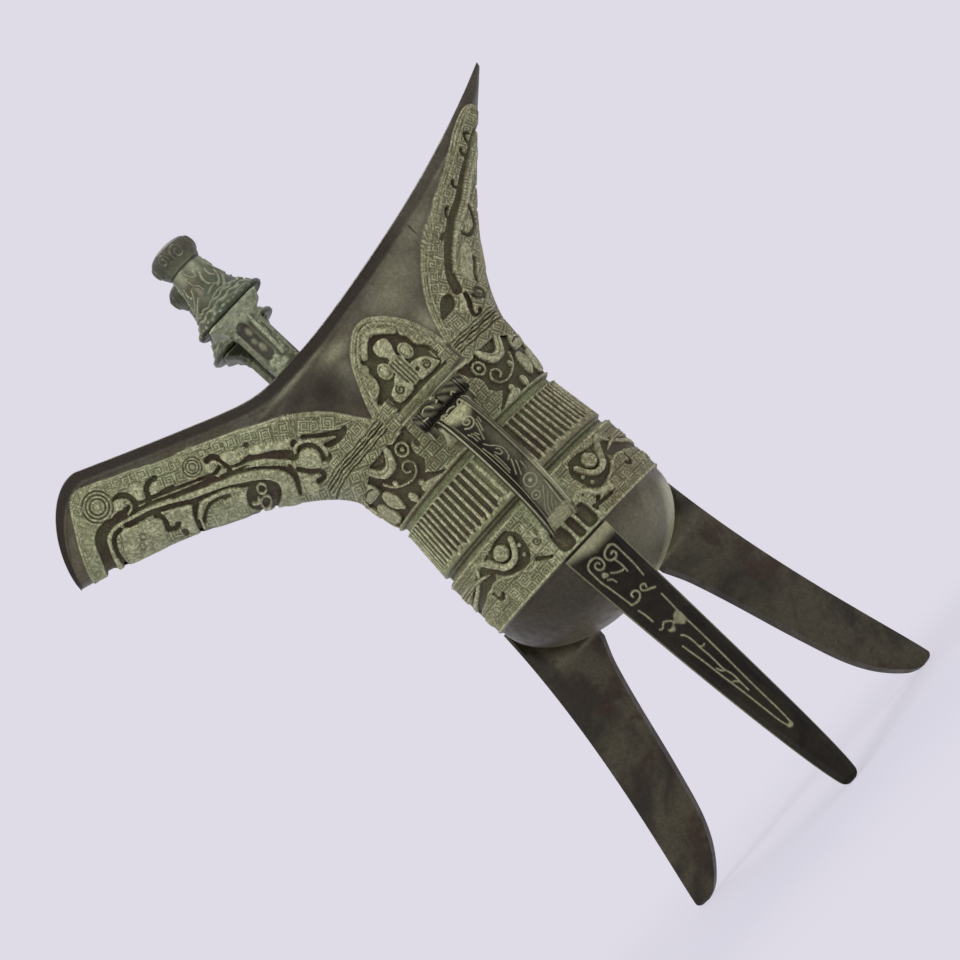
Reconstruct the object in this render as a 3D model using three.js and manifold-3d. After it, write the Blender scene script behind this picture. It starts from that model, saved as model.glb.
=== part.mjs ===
// A bronze wine cup on three blade legs, with a pouring spout, a pointed tail,
// a strap handle under an animal head and two capped posts on the rim.
// Millimetres, +Z up. The spout points along -X, the tail along +X and the handle along -Y.

import * as THREE from 'three';
import Module from 'manifold-3d';
import { mergeVertices } from 'three/addons/utils/BufferGeometryUtils.js';

// Fits
const seam = 0.3; // brazing gap between pieces that touch
const socketPlay = 0.3; // gap round a tenon in its socket

// Heights, one above the other
const bowlBottomZ = 69.5; // underside of the bowl above the table
const bowlRise = 20; // rounded bottom, up to the lower band
const lowerBandHeight = 18.8;
const grooveHeight = 2;
const ribBandHeight = 15.6;
const neckHeight = 10.6; // upper band, up to where spout and tail leave the round body
const mouthRise = 38.4; // from there to the lowest point of the rim

// Round body
const bodyRadius = 30;
const lowerBandSwell = 0.6; // how far the lower band stands proud of the body radius
const waistDraw = 1.6; // how far the foot of the upper band is drawn in
const bandBelly = 0.3; // how far the upper band bows out between its ends
const grooveDepth = 1;
const bandEdge = 0.3; // rounded edge of a band
const wall = 3;
const mouthFlare = 1; // how much wider the mouth is than the body, each side
const flarePower = 1.4; // how late the wall flares on its way up
const throatStart = 0.6; // share of the radius where the round wall starts to open into the channels

// Rim
const rimLowX = -14; // where the rim is lowest
const lipHeight = 3.8;
const lipOut = 0.7; // how far the thick lip stands out
const lipShare = 0.7; // most of the wall's height that the lip may take
const tailRimRise = 23.4;
const tailRimPower = 1.62;
const spoutRimSlope = 0.5;
const spoutRimDelay = 16; // level stretch before the rim climbs the spout
const spoutRimSoftness = 3;

// Spout
const spoutLength = 98.6; // tip of the underside from the axis
const spoutTipAboveRim = 2.6; // tip of the underside above the lowest point of the rim
const spoutHalfWidth = 12.5;
const spoutWaistRun = 8; // past the body, where the mouth has narrowed to the spout
const spoutWaistSpread = 1.5; // how much wider the spout is there than at its end
const spoutThroatRise = 11; // how steeply the underside leaves the body
const spoutRun = 36.6; // reach of the underside curve back from its tip
const spoutFall = 10.8; // and how far it falls over that reach
const spoutRoundness = 2.6; // power of the U section
const noseLength = 21.6; // rounded end of the rim
const noseDepth = 12;
const noseBack = 3;
const noseRound = 8;
const noseRise = 2;

// Tail
const tailLength = 77.8;
const tailTipDepth = 1.2; // thickness of the tip, seen from the side
const tailTipHalfWidth = 2.2;
const tailShoulderIn = 6; // inside the body, where the mouth starts to narrow to the tail
const tailWaistRun = 4; // past the body
const tailWaistHalfWidth = 17;
const tailThroatRise = 21;
const tailRun = 21.8;
const tailFall = 18.7;
const tailRoundness = 2;
const tailSolidTip = 9; // length of the tip that isn't hollow

// Posts and their caps
const postBehindEdge = 11.6; // middle of a post, inside the bowl's edge on the spout's side
const postSetIn = 6; // middle of a post inside the edge of the mouth
const postWidth = 8.8;
const postChamfer = 0.9;
const postRise = 16; // plain shaft above the rim
const postFootDepth = 6; // how deep the shaft is let into the wall
const postSkin = 0.9; // wall left outside the foot
const capitalHeight = 4.4;
const capitalWidth = 15;
const capitalEdge = 0.8; // upright edge of the flared head
const capitalCurve = 0.35; // share of the flare that is reached at mid height
const tenonWidth = 6;
const tenonHeight = 6;
const capBrimRadius = 11.5;
const capBrimRoll = 1.2; // radius of the rolled edge
const capShoulderIn = 2.6; // the bell starts this far inside the brim
const capShoulderRise = 2.2;
const capWaistRise = 5;
const capWaistSpread = 1.6;
const capNeckRise = 8;
const capNeckRadius = 5.2;
const capKnobRadius = 6.7;
const capKnobHeight = 6.4;
const capHeight = 25;

// Legs
const legNames = ['front', 'tail_side', 'spout_side'];
const legFrontAngle = -90; // the front leg stands under the handle
const legRootWidth = 15.2;
const legFootWidth = 3.8;
const legEdge = 1.4; // thickness of the blade at its edges
const legRootOut = 1; // outer face at the root, proud of the body
const legSwell = 4; // how far the blade leans out on its way down
const footSpread = 24; // outer end of the foot, past the body
const footSweep = 11; // how late the blade sweeps out to it
const footLength = 6;
const legRidgeIn = 16.3; // where the inner ridge meets the bowl, inside the body radius
const legRidgeSweep = 3;

// Handle
const strapWidth = 9.6;
const strapThickness = 3;
const strapBend = 27; // reach of the strap's curve past the body
const strapDroop = 4;
const strapRise = 1;
const railWidth = 1.3;
const railHeight = 0.7;
const strapLowAbove = 8.6; // lower root above the foot of the lower band
const headHeight = 11.5;
const headWidth = 17;
const headReach = 14; // how far the head stands out from the body
const headTopBelow = 1.2; // top of the head below the top of the upper band
const muzzleHeight = 5;
const muzzleDrop = 4; // slope under the chin
const browBack = 3; // how far the brow lies behind the muzzle
const browRound = 3;
const hornRadius = 2.6;
const hornBack = 5;
const earRadius = 2.3;
const headTenonDepth = 4;

// Cast relief. On the wall, a point is its run along the cup (1 at the bowl's edge, 2 at a tip,
// less than 0 on the spout's side) and its share of the height from keel to rim.
const ridgeHeight = 0.5;
const ridgeWidth = 1;
const hairpinWidth = 1.8;
const carvingDepth = 0.8; // hollows below the surface
const channelWidth = 2.2;
const spoutBorder = [
  [-1.93, 0.08], [-1.87, 0.51], [-1.8, 0.76], [-1.73, 0.83], [-1.61, 0.79], [-1.44, 0.76],
  [-1.26, 0.77], [-1.09, 0.76], [-0.93, 0.74], [-0.7, 0.59], [-0.55, 0.4], [-0.43, 0.26],
];
const spoutHairpin = [
  [-1.82, 0.03], [-1.79, 0.26], [-1.73, 0.34], [-1.64, 0.35], [-1.44, 0.34], [-1.29, 0.34],
  [-1.19, 0.29], [-1.16, 0.18], [-1.19, 0.01],
];
const spoutChannel = [
  [-1.86, 0], [-1.82, 0.3], [-1.76, 0.4], [-1.67, 0.4], [-1.5, 0.43], [-1.32, 0.44],
  [-1.2, 0.45], [-1.11, 0.42], [-1.07, 0.39],
];
const tailBorder = [
  [0.46, 0.3], [0.6, 0.54], [0.83, 0.72], [1.04, 0.75], [1.27, 0.71], [1.5, 0.71], [1.73, 0.69],
];
const tailChannel = [
  [0.88, 0.46], [1.02, 0.53], [1.17, 0.48], [1.32, 0.38], [1.5, 0.31],
];
const leafBorder = [
  [-0.44, 0.33], [-0.37, 0.48], [-0.28, 0.61], [-0.17, 0.72], [0, 0.8], [0.17, 0.75],
  [0.3, 0.62], [0.38, 0.5], [0.43, 0.35],
];
const leafHollow = [
  [-0.18, 0.63], [0.02, 0.69], [0.21, 0.61], [0.24, 0.46], [0.3, 0.35], [0.3, 0.25],
  [-0.23, 0.25], [-0.29, 0.36], [-0.2, 0.45],
];
const leafStem = [
  [-0.04, 0.62], [0.11, 0.62], [0.1, 0.54], [0.22, 0.5], [0.2, 0.4], [0.08, 0.42], [0.09, 0.22],
  [-0.05, 0.22], [-0.04, 0.42], [-0.15, 0.4], [-0.16, 0.5], [-0.05, 0.54],
];
// On the bands, a point is its angle from the handle and its share of the band's height.
const lowerHollow = [
  [20, 0.78], [24, 0.39], [37, 0.4], [43.5, 0.66], [43.5, 0.82], [41, 0.86], [22, 0.86],
];
const lowerWave = [[53, 0.75], [51, 0.56], [70, 0.44], [86, 0.42], [86, 0.54], [70, 0.62]];
const lowerHorn = [
  [23, 0.8], [27, 0.58], [36, 0.51], [48, 0.85], [44, 0.9], [37, 0.66], [31, 0.68], [27, 0.8],
];
const upperHollow = [
  [24, 0.94], [51, 0.97], [54, 0.62], [86, 0.6], [86, 0.11], [65, 0.08], [46, 0.08], [27, 0.16],
  [31, 0.26], [25, 0.42],
];
const upperStanding = [
  [[58, 0.98], [48, 0.85], [42, 0.84], [38, 1.02], [34, 0.95], [36, 0.72], [46, 0.65], [57, 0.78]],
  [[54, 0.4], [57, 0.7], [65, 0.7], [64, 0.05], [56, 0.05]],
  [[69, 0.05], [68, 0.42], [76, 0.48], [81, 0.05]],
];

// Shapes are drawn with these numbers of steps
const roundSteps = 48;
const curveSteps = 10;
const spoutSteps = 18;
const spoutCrowding = 1.4; // gathers the steps towards the end of the spout
const sectionSteps = 9;
const rollSteps = 6;
const strapSteps = 22;
const legSteps = 14;
const legCrowding = 1.3; // gathers the steps towards the foot
const findSteps = 30;
const tiny = 1e-3;

const bronze = new THREE.MeshStandardMaterial({ color: 0x6d7358, roughness: 0.55, metalness: 0.6 });
const patina = new THREE.MeshStandardMaterial({ color: 0x8b9a6e, roughness: 0.7, metalness: 0.35 });
const dark = new THREE.MeshStandardMaterial({ color: 0x3a3831, roughness: 0.5, metalness: 0.6 });

// Levels that follow from the heights
const bandFootZ = bowlBottomZ + bowlRise;
const bandTopZ = bandFootZ + lowerBandHeight;
const ribFootZ = bandTopZ + grooveHeight;
const ribTopZ = ribFootZ + ribBandHeight;
const upperFootZ = ribTopZ + grooveHeight;
const neckZ = upperFootZ + neckHeight;
const rimLowZ = neckZ + mouthRise;
const upperBandTopZ = neckZ + neckHeight / 2;
const bandRadius = bodyRadius + lowerBandSwell;
const waistRadius = bodyRadius - waistDraw;
const innerRadius = waistRadius - grooveDepth - wall;
const mouthHalfWidth = bodyRadius + mouthFlare;
const noseX = -spoutLength + noseLength;
const spoutTipZ = rimLowZ + spoutTipAboveRim;
const tailTipZ = rimLowZ + tailRimRise - tailTipDepth;
const seamX = bandRadius + 2 * seam;
const far = 4 * spoutLength; // past everything

// Solids

const wasm = await Module();
wasm.setup();

function toSolid(geometry, matrix = new THREE.Matrix4()) {
  const plain = geometry.clone().applyMatrix4(matrix);
  plain.deleteAttribute('normal');
  plain.deleteAttribute('uv');
  const merged = mergeVertices(plain, tiny / 100);
  const index = merged.index.array;
  const triangles = [];
  for (let i = 0; i < index.length; i += 3) {
    const [a, b, c] = [index[i], index[i + 1], index[i + 2]];
    if (a !== b && b !== c && c !== a) triangles.push(a, b, c);
  }
  return new wasm.Manifold(new wasm.Mesh({
    numProp: 3,
    vertProperties: Float32Array.from(merged.attributes.position.array),
    triVerts: Uint32Array.from(triangles),
  }));
}

function toMesh(name, solid, material) {
  const { vertProperties, triVerts, numProp } = solid.getMesh();
  const geometry = new THREE.BufferGeometry();
  const positions = new Float32Array((vertProperties.length / numProp) * 3);
  for (let i = 0; i < positions.length / 3; i++) {
    for (let k = 0; k < 3; k++) positions[3 * i + k] = vertProperties[numProp * i + k];
  }
  geometry.setAttribute('position', new THREE.BufferAttribute(positions, 3));
  geometry.setIndex(Array.from(triVerts));
  geometry.computeVertexNormals();
  const mesh = new THREE.Mesh(geometry, material);
  mesh.name = name;
  return mesh;
}

// Skins a row of rings, each a closed loop with the same number of points, and closes both ends.
function loft(rings) {
  const count = rings[0].length;
  const positions = [];
  rings.forEach((ring) => ring.forEach((p) => positions.push(p.x, p.y, p.z)));
  const index = [];
  for (let r = 0; r + 1 < rings.length; r++) {
    for (let i = 0; i < count; i++) {
      const a = r * count + i;
      const b = r * count + ((i + 1) % count);
      index.push(a, b, a + count, b, b + count, a + count);
    }
  }
  closeEnd(rings[0], 0, positions, index, true);
  closeEnd(rings.at(-1), (rings.length - 1) * count, positions, index, false);
  const geometry = new THREE.BufferGeometry();
  geometry.setAttribute('position', new THREE.Float32BufferAttribute(positions, 3));
  geometry.setIndex(index);
  return geometry;
}

function closeEnd(ring, first, positions, index, reversed) {
  const centre = ring.reduce((sum, p) => sum.add(p), new THREE.Vector3()).divideScalar(ring.length);
  const middle = positions.length / 3;
  positions.push(centre.x, centre.y, centre.z);
  for (let i = 0; i < ring.length; i++) {
    const a = first + i;
    const b = first + ((i + 1) % ring.length);
    if (reversed) index.push(middle, b, a);
    else index.push(middle, a, b);
  }
}

function box(x0, x1, y0, y1, z0, z1) {
  const geometry = new THREE.BoxGeometry(x1 - x0, y1 - y0, z1 - z0);
  geometry.translate((x0 + x1) / 2, (y0 + y1) / 2, (z0 + z1) / 2);
  return toSolid(geometry);
}

// A body turned round the Z axis from points of radius and height, lowest first.
function turned(points) {
  const geometry = new THREE.LatheGeometry(points, roundSteps);
  return toSolid(geometry, new THREE.Matrix4().makeRotationX(Math.PI / 2));
}

// Curves of the vessel, each read as a height or a width over X

function valueAt(curve, x) {
  const start = curve.getPoint(0).x;
  const end = curve.getPoint(1).x;
  const rising = end > start;
  let low = 0;
  let high = 1;
  for (let i = 0; i < findSteps; i++) {
    const middle = (low + high) / 2;
    if (curve.getPoint(middle).x < x === rising) low = middle;
    else high = middle;
  }
  return curve.getPoint((low + high) / 2).y;
}

function spoutKeel(inset) {
  const tipZ = spoutTipZ + inset;
  return new THREE.CubicBezierCurve(
    new THREE.Vector2(-(bodyRadius - inset), neckZ),
    new THREE.Vector2(-(bodyRadius - inset), neckZ + spoutThroatRise + inset / 2),
    new THREE.Vector2(-spoutLength + spoutRun, tipZ - spoutFall),
    new THREE.Vector2(-spoutLength, tipZ),
  );
}

function tailKeel(inset) {
  const solid = inset > 0 ? tailSolidTip : 0;
  const slope = tailFall / tailRun;
  const tip = new THREE.Vector2(tailLength - solid, tailTipZ - solid * slope + inset);
  return new THREE.CubicBezierCurve(
    new THREE.Vector2(bodyRadius - inset, neckZ),
    new THREE.Vector2(bodyRadius - inset, neckZ + tailThroatRise),
    new THREE.Vector2(tip.x - tailRun + solid, tip.y - tailFall + solid * slope),
    tip,
  );
}

// Half width of the mouth, seen from above.
const spoutPlan = new THREE.CubicBezierCurve(
  new THREE.Vector2(0, mouthHalfWidth),
  new THREE.Vector2(-bodyRadius, mouthHalfWidth),
  new THREE.Vector2(-bodyRadius - spoutWaistRun, spoutHalfWidth + spoutWaistSpread),
  new THREE.Vector2(-spoutLength, spoutHalfWidth),
);
const tailPlan = new THREE.CubicBezierCurve(
  new THREE.Vector2(0, mouthHalfWidth),
  new THREE.Vector2(bodyRadius - tailShoulderIn, mouthHalfWidth),
  new THREE.Vector2(bodyRadius + tailWaistRun, tailWaistHalfWidth),
  new THREE.Vector2(tailLength, tailTipHalfWidth),
);

function rimHeight(x) {
  if (x >= rimLowX) {
    const share = (x - rimLowX) / (tailLength - rimLowX);
    return rimLowZ + tailRimRise * share ** tailRimPower;
  }
  const climb = (rimLowX - x - spoutRimDelay) / spoutRimSoftness;
  return rimLowZ + spoutRimSlope * spoutRimSoftness * Math.log(1 + Math.exp(climb));
}

// Rounded end of the spout, seen from the side.
const noseZ = rimHeight(noseX);
const spoutNose = new THREE.CubicBezierCurve(
  new THREE.Vector2(-spoutLength, spoutTipZ),
  new THREE.Vector2(-spoutLength + noseBack, spoutTipZ + noseDepth),
  new THREE.Vector2(noseX - noseRound, noseZ + noseRise),
  new THREE.Vector2(noseX, noseZ),
);

function topHeight(x) {
  return x < noseX ? valueAt(spoutNose, x) : rimHeight(x);
}

function smooth(low, high, value) {
  const t = THREE.MathUtils.clamp((value - low) / (high - low), 0, 1);
  return t * t * (3 - 2 * t);
}

// One side of the vessel's section across X: points of half width and height, lowest first.
function halfSection(x, inset, top, keels) {
  const radius = bodyRadius - inset;
  const round = Math.abs(x) < radius;
  const lowY = round ? Math.sqrt(radius * radius - x * x) : 0;
  const lowZ = round ? neckZ : valueAt(x < 0 ? keels.spout : keels.tail, x);
  const highY = Math.max(valueAt(x < 0 ? spoutPlan : tailPlan, x) - inset, seam);
  const highZ = rimHeight(x);
  const open = smooth(radius * throatStart, radius, Math.abs(x));
  const power = x < 0 ? spoutRoundness : tailRoundness;
  const reach = THREE.MathUtils.clamp((top - lowZ) / (highZ - lowZ), 0, 2);
  const points = [];
  for (let i = 0; i <= sectionSteps; i++) {
    const s = i / sectionSteps;
    const v = reach * THREE.MathUtils.lerp(s, 1 - Math.cos((Math.PI / 2) * s), open);
    const channel = Math.sqrt(1 - Math.max(1 - v, 0) ** power);
    const bulge = THREE.MathUtils.lerp(Math.min(v, 1) ** flarePower, channel, open);
    points.push({ y: lowY + (highY - lowY) * bulge, z: lowZ + (highZ - lowZ) * v });
  }
  return points;
}

function thickenLip(points, top) {
  const low = points[0].z;
  const start = Math.max(top - lipHeight, top - (top - low) * lipShare);
  const below = points.filter((p) => p.z < start - seam);
  while (below.length < points.length - 1) below.push(below.at(-1) ?? points[0]);
  const edgeY = points.at(-1).y;
  const under = below.at(-1);
  const share = (start - under.z) / Math.max(top - under.z, tiny);
  const startY = THREE.MathUtils.lerp(under.y, edgeY, THREE.MathUtils.clamp(share, 0, 1));
  const grow = top - low > tiny ? lipOut : 0;
  return [
    ...below,
    { y: startY, z: start },
    { y: startY + grow, z: start + grow },
    { y: edgeY + grow, z: top },
  ];
}

function sectionRing(x, points) {
  const right = points.map((p) => new THREE.Vector3(x, p.y, p.z));
  const left = points.map((p) => new THREE.Vector3(x, -p.y, p.z)).reverse();
  return [...left, ...right];
}

function stations(inset) {
  const radius = bodyRadius - inset;
  const keels = { spout: spoutKeel(inset), tail: tailKeel(inset) };
  const xs = [];
  for (let i = 0; i < spoutSteps; i++) {
    xs.push(keels.spout.getPoint(1 - (i / spoutSteps) ** spoutCrowding).x);
  }
  for (let i = 0; i <= 2 * curveSteps; i++) xs.push(-radius * Math.cos((Math.PI * i) / (2 * curveSteps)));
  for (let i = 1; i <= curveSteps; i++) xs.push(keels.tail.getPoint(i / curveSteps).x);
  return { xs, keels };
}

function vesselOutside(grow) {
  const { xs, keels } = stations(-grow);
  const rings = xs.map((x) => {
    const top = topHeight(x) + grow;
    return sectionRing(x, thickenLip(halfSection(x, -grow, top, keels), top));
  });
  return toSolid(loft(rings));
}

// The room inside a skin of the given thickness, open past the rim and the end of the spout.
function vesselInside(skin) {
  const { xs, keels } = stations(skin);
  const over = lipHeight;
  const ring = (at, x) => sectionRing(at, halfSection(x, skin, rimHeight(x) + over, keels));
  const mouth = ring(-spoutLength - over, xs[0]);
  return toSolid(loft([mouth, ...xs.map((x) => ring(x, x))]));
}

// Egg-shaped bottom as a quarter ellipse, from the axis outward.
function eggPoints(radius, bottomZ, topZ) {
  const points = [];
  for (let i = 0; i <= curveSteps; i++) {
    const angle = (Math.PI / 2) * (i / curveSteps);
    points.push(new THREE.Vector2(radius * Math.sin(angle), topZ - (topZ - bottomZ) * Math.cos(angle)));
  }
  points[0].x = 0;
  return points;
}

function bandPoints() {
  const belt = (radius, z0, z1) => [new THREE.Vector2(radius, z0), new THREE.Vector2(radius, z1)];
  return [
    ...belt(bandRadius, bandFootZ + lowerBandSwell, bandTopZ - lowerBandSwell),
    ...belt(bodyRadius - grooveDepth, bandTopZ, ribFootZ),
    new THREE.Vector2(bodyRadius, ribFootZ + bandEdge),
    new THREE.Vector2(waistRadius, ribTopZ - bandEdge),
    ...belt(waistRadius - grooveDepth, ribTopZ, upperFootZ),
    new THREE.Vector2(waistRadius, upperFootZ + bandEdge),
    new THREE.Vector2((waistRadius + bodyRadius) / 2 + bandBelly, (upperFootZ + neckZ) / 2),
    new THREE.Vector2(bodyRadius, neckZ),
  ];
}

function bowlOutside(grow) {
  const egg = eggPoints(bodyRadius + grow, bowlBottomZ - grow, bandFootZ);
  const bands = bandPoints().map((p) => new THREE.Vector2(p.x + grow, p.y));
  const core = bodyRadius - wall / 3;
  const top = [
    new THREE.Vector2(core, neckZ),
    new THREE.Vector2(core, neckZ + wall),
    new THREE.Vector2(0, neckZ + wall),
  ];
  return turned([...egg, ...bands, ...top]);
}

function bowlInside() {
  const egg = eggPoints(innerRadius, bowlBottomZ + wall, bandFootZ);
  const top = [
    new THREE.Vector2(innerRadius, upperFootZ),
    new THREE.Vector2(bodyRadius - wall, neckZ),
    new THREE.Vector2(bodyRadius - wall - seam, neckZ + wall),
    new THREE.Vector2(0, neckZ + wall),
  ];
  return turned([...egg, ...top]);
}

// Relief

function onWall([run, rise]) {
  const past = Math.max(Math.abs(run) - 1, 0);
  const length = run < 0 ? spoutLength : tailLength;
  const x = Math.sign(run) * (Math.min(Math.abs(run), 1) * bodyRadius + past * (length - bodyRadius));
  const lowZ = past > 0 ? valueAt(run < 0 ? spoutKeel(0) : tailKeel(0), x) : neckZ;
  return new THREE.Vector2(x, THREE.MathUtils.lerp(lowZ, topHeight(x), rise));
}

// A line of even width through the points.
function lineShape(points, width) {
  const left = [];
  const right = [];
  points.forEach((p, i) => {
    const before = points[Math.max(i - 1, 0)];
    const after = points[Math.min(i + 1, points.length - 1)];
    const side = after.clone().sub(before).normalize().multiplyScalar(width / 2);
    left.push(new THREE.Vector2(p.x - side.y, p.y + side.x));
    right.unshift(new THREE.Vector2(p.x + side.y, p.y - side.x));
  });
  return new THREE.Shape([...left, ...right]);
}

// A block straight through the cup, from its side view.
function throughCup(shape) {
  const depth = 2 * mouthHalfWidth + 2 * wall;
  const geometry = new THREE.ExtrudeGeometry(shape, { depth, bevelEnabled: false });
  const turn = new THREE.Matrix4().makeRotationX(Math.PI / 2).setPosition(0, depth / 2, 0);
  return toSolid(geometry, turn);
}

function wallLine(points, width) {
  return throughCup(lineShape(points.map(onWall), width));
}

function wallBlock(points) {
  return throughCup(new THREE.Shape(points.map(onWall)));
}

// Blocks round the bowl, at both ends of its front and of its back.
function bandBlocks(points, footZ, height) {
  const start = innerRadius;
  return allOf([-1, 1], (side) => {
    const outline = points.map(([angle, rise]) => (
      new THREE.Vector2(side * THREE.MathUtils.degToRad(angle), footZ + rise * height)));
    const depth = bandRadius + wall - start;
    const geometry = new THREE.ExtrudeGeometry(new THREE.Shape(outline), { depth, bevelEnabled: false });
    const place = geometry.attributes.position;
    for (let i = 0; i < place.count; i++) {
      const [angle, z, radius] = [place.getX(i), place.getY(i), start + place.getZ(i)];
      place.setXYZ(i, radius * Math.sin(angle), -radius * Math.cos(angle), z);
    }
    const block = toSolid(geometry);
    return block.add(block.mirror([0, 1, 0]));
  });
}

function allOf(shapes, make) {
  return shapes.map(make).reduce((sum, solid) => sum.add(solid));
}

// The outside of the cup with its main ridges and hollows.
function carved(outside) {
  const cover = vesselOutside(ridgeHeight);
  const floor = bowlOutside(-carvingDepth).add(vesselOutside(-carvingDepth));
  const ridges = allOf([spoutBorder, leafBorder, tailBorder], (line) => wallLine(line, ridgeWidth));
  const hairpin = wallLine(spoutHairpin, hairpinWidth);
  const lower = (points) => bandBlocks(points, bandFootZ, lowerBandHeight);
  const upper = (points) => bandBlocks(points, upperFootZ, upperBandTopZ - upperFootZ);
  const leaf = wallBlock(leafHollow).subtract(wallBlock(leafStem));
  const hollows = allOf([spoutChannel, tailChannel], (line) => wallLine(line, channelWidth))
    .add(leaf)
    .add(allOf([lowerHollow, lowerWave], lower).subtract(lower(lowerHorn)))
    .add(upper(upperHollow).subtract(allOf(upperStanding, upper)));
  return outside
    .add(ridges.add(hairpin).intersect(cover))
    .subtract(hollows.subtract(floor));
}

function vesselShell() {
  const outside = carved(bowlOutside(0).add(vesselOutside(0)));
  const inside = bowlInside().add(vesselInside(wall));
  return outside.subtract(inside);
}

// Legs

const footRadius = bodyRadius + footSpread;
const legOuter = new THREE.CubicBezierCurve(
  new THREE.Vector2(bodyRadius + legRootOut, bandFootZ - seam),
  new THREE.Vector2(bodyRadius + legSwell, (bandFootZ * 2) / 3),
  new THREE.Vector2(footRadius - footSweep, bandFootZ / 3),
  new THREE.Vector2(footRadius, 0),
);
const legRidge = new THREE.CubicBezierCurve(
  new THREE.Vector2(bodyRadius - legRidgeIn, bowlBottomZ + seam),
  new THREE.Vector2(bodyRadius - legRidgeSweep, (bowlBottomZ * 4) / 7),
  new THREE.Vector2(bodyRadius - legRidgeSweep, bowlBottomZ / 5),
  new THREE.Vector2(footRadius - footLength, 0),
);

function legWidth(z) {
  return legFootWidth + (legRootWidth - legFootWidth) * Math.sqrt(z / bandFootZ);
}

function radiusAtHeight(curve, z) {
  const upright = new THREE.CubicBezierCurve(...[curve.v0, curve.v1, curve.v2, curve.v3]
    .map((p) => new THREE.Vector2(p.y, p.x)));
  return valueAt(upright, z);
}

// A blade with a flat outer face and a ridge inside, standing along +X before it is turned.
function legRing(z) {
  const outer = radiusAtHeight(legOuter, z);
  const ridge = Math.min(radiusAtHeight(legRidge, Math.min(z, bowlBottomZ)), outer - footLength);
  const half = legWidth(z) / 2;
  const blunt = Math.min(legEdge, half / 2);
  return [
    new THREE.Vector3(outer, -half, z),
    new THREE.Vector3(outer, half, z),
    new THREE.Vector3(outer - legEdge, half, z),
    new THREE.Vector3(ridge, blunt, z),
    new THREE.Vector3(ridge, -blunt, z),
    new THREE.Vector3(outer - legEdge, -half, z),
  ];
}

function leg(angle, bowl) {
  const top = bandFootZ - seam;
  const rings = [];
  for (let i = 0; i <= legSteps; i++) rings.push(legRing(top * (i / legSteps) ** legCrowding));
  const matrix = new THREE.Matrix4().makeRotationZ(THREE.MathUtils.degToRad(angle));
  return toSolid(loft(rings), matrix).subtract(bowl);
}

// Posts

function squareRing(half, z, chamfer) {
  const flat = half - chamfer;
  const corners = [
    [half, -flat], [half, flat], [flat, half], [-flat, half],
    [-half, flat], [-half, -flat], [-flat, -half], [flat, -half],
  ];
  return corners.map(([x, y]) => new THREE.Vector3(x, y, z));
}

const postX = -(bodyRadius - postBehindEdge);
const postY = valueAt(spoutPlan, postX) - postSetIn;

function atPost(side, z = 0) {
  return new THREE.Matrix4().makeTranslation(postX, side * postY, z);
}

const postTopZ = rimHeight(postX) + postRise + capitalHeight;
const postFootZ = rimHeight(postX) - postFootDepth;

function post(side) {
  const half = postWidth / 2;
  const capitalZ = postTopZ - capitalHeight;
  const rings = [
    squareRing(half - postChamfer, postFootZ, postChamfer / 2),
    squareRing(half, postFootZ + postChamfer, postChamfer),
    squareRing(half, capitalZ, postChamfer),
    squareRing(half + (capitalWidth / 2 - half) * capitalCurve, capitalZ + capitalHeight / 2, postChamfer),
    squareRing(capitalWidth / 2, postTopZ - capitalEdge, postChamfer * 2),
    squareRing(capitalWidth / 2, postTopZ, postChamfer * 2),
  ];
  const tenon = [
    squareRing(tenonWidth / 2, postTopZ - capitalEdge, postChamfer / 2),
    squareRing(tenonWidth / 2, postTopZ + tenonHeight, postChamfer / 2),
  ];
  // Above the rim the shaft is full. Below it, a skin of wall is left outside the foot.
  const clearZ = Math.max(rimHeight(postX - half), rimHeight(postX + half)) + seam;
  const above = box(postX - capitalWidth, postX + capitalWidth, -far, far, clearZ, far);
  const room = vesselInside(postSkin + seam).add(above);
  return toSolid(loft(rings), atPost(side)).add(toSolid(loft(tenon), atPost(side))).intersect(room);
}

// The notch in the wall that the foot of a post sits in.
function postNotch(side) {
  const half = postWidth / 2 + seam;
  const rings = [
    squareRing(half, postFootZ - seam, postChamfer),
    squareRing(half, rimLowZ + tailRimRise, postChamfer),
  ];
  return toSolid(loft(rings), atPost(side)).intersect(vesselInside(postSkin));
}

// Half of a cap's outline: rolled brim, bell, neck and round knob.
function capPoints() {
  const rollZ = capBrimRoll;
  const points = [new THREE.Vector2(0, 0)];
  for (let i = 0; i <= rollSteps; i++) {
    const angle = Math.PI * (i / rollSteps - 1 / 2);
    points.push(new THREE.Vector2(
      capBrimRadius - capBrimRoll + capBrimRoll * Math.cos(angle),
      rollZ + capBrimRoll * Math.sin(angle),
    ));
  }
  const bell = new THREE.CubicBezierCurve(
    new THREE.Vector2(capBrimRadius - capShoulderIn, rollZ + capShoulderRise),
    new THREE.Vector2(capNeckRadius + capWaistSpread, rollZ + capWaistRise),
    new THREE.Vector2(capNeckRadius, rollZ + capNeckRise),
    new THREE.Vector2(capNeckRadius, capHeight - capKnobHeight),
  );
  points.push(...bell.getPoints(rollSteps));
  for (let i = 1; i <= rollSteps; i++) {
    const angle = Math.PI * (((5 / 6) * i) / (rollSteps + 1) - 1 / 3);
    points.push(new THREE.Vector2(
      capKnobRadius * Math.sqrt(Math.cos(angle)),
      capHeight - (capKnobHeight / 2) * (1 - Math.sin(angle)),
    ));
  }
  points.push(new THREE.Vector2(0, capHeight));
  return points;
}

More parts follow.
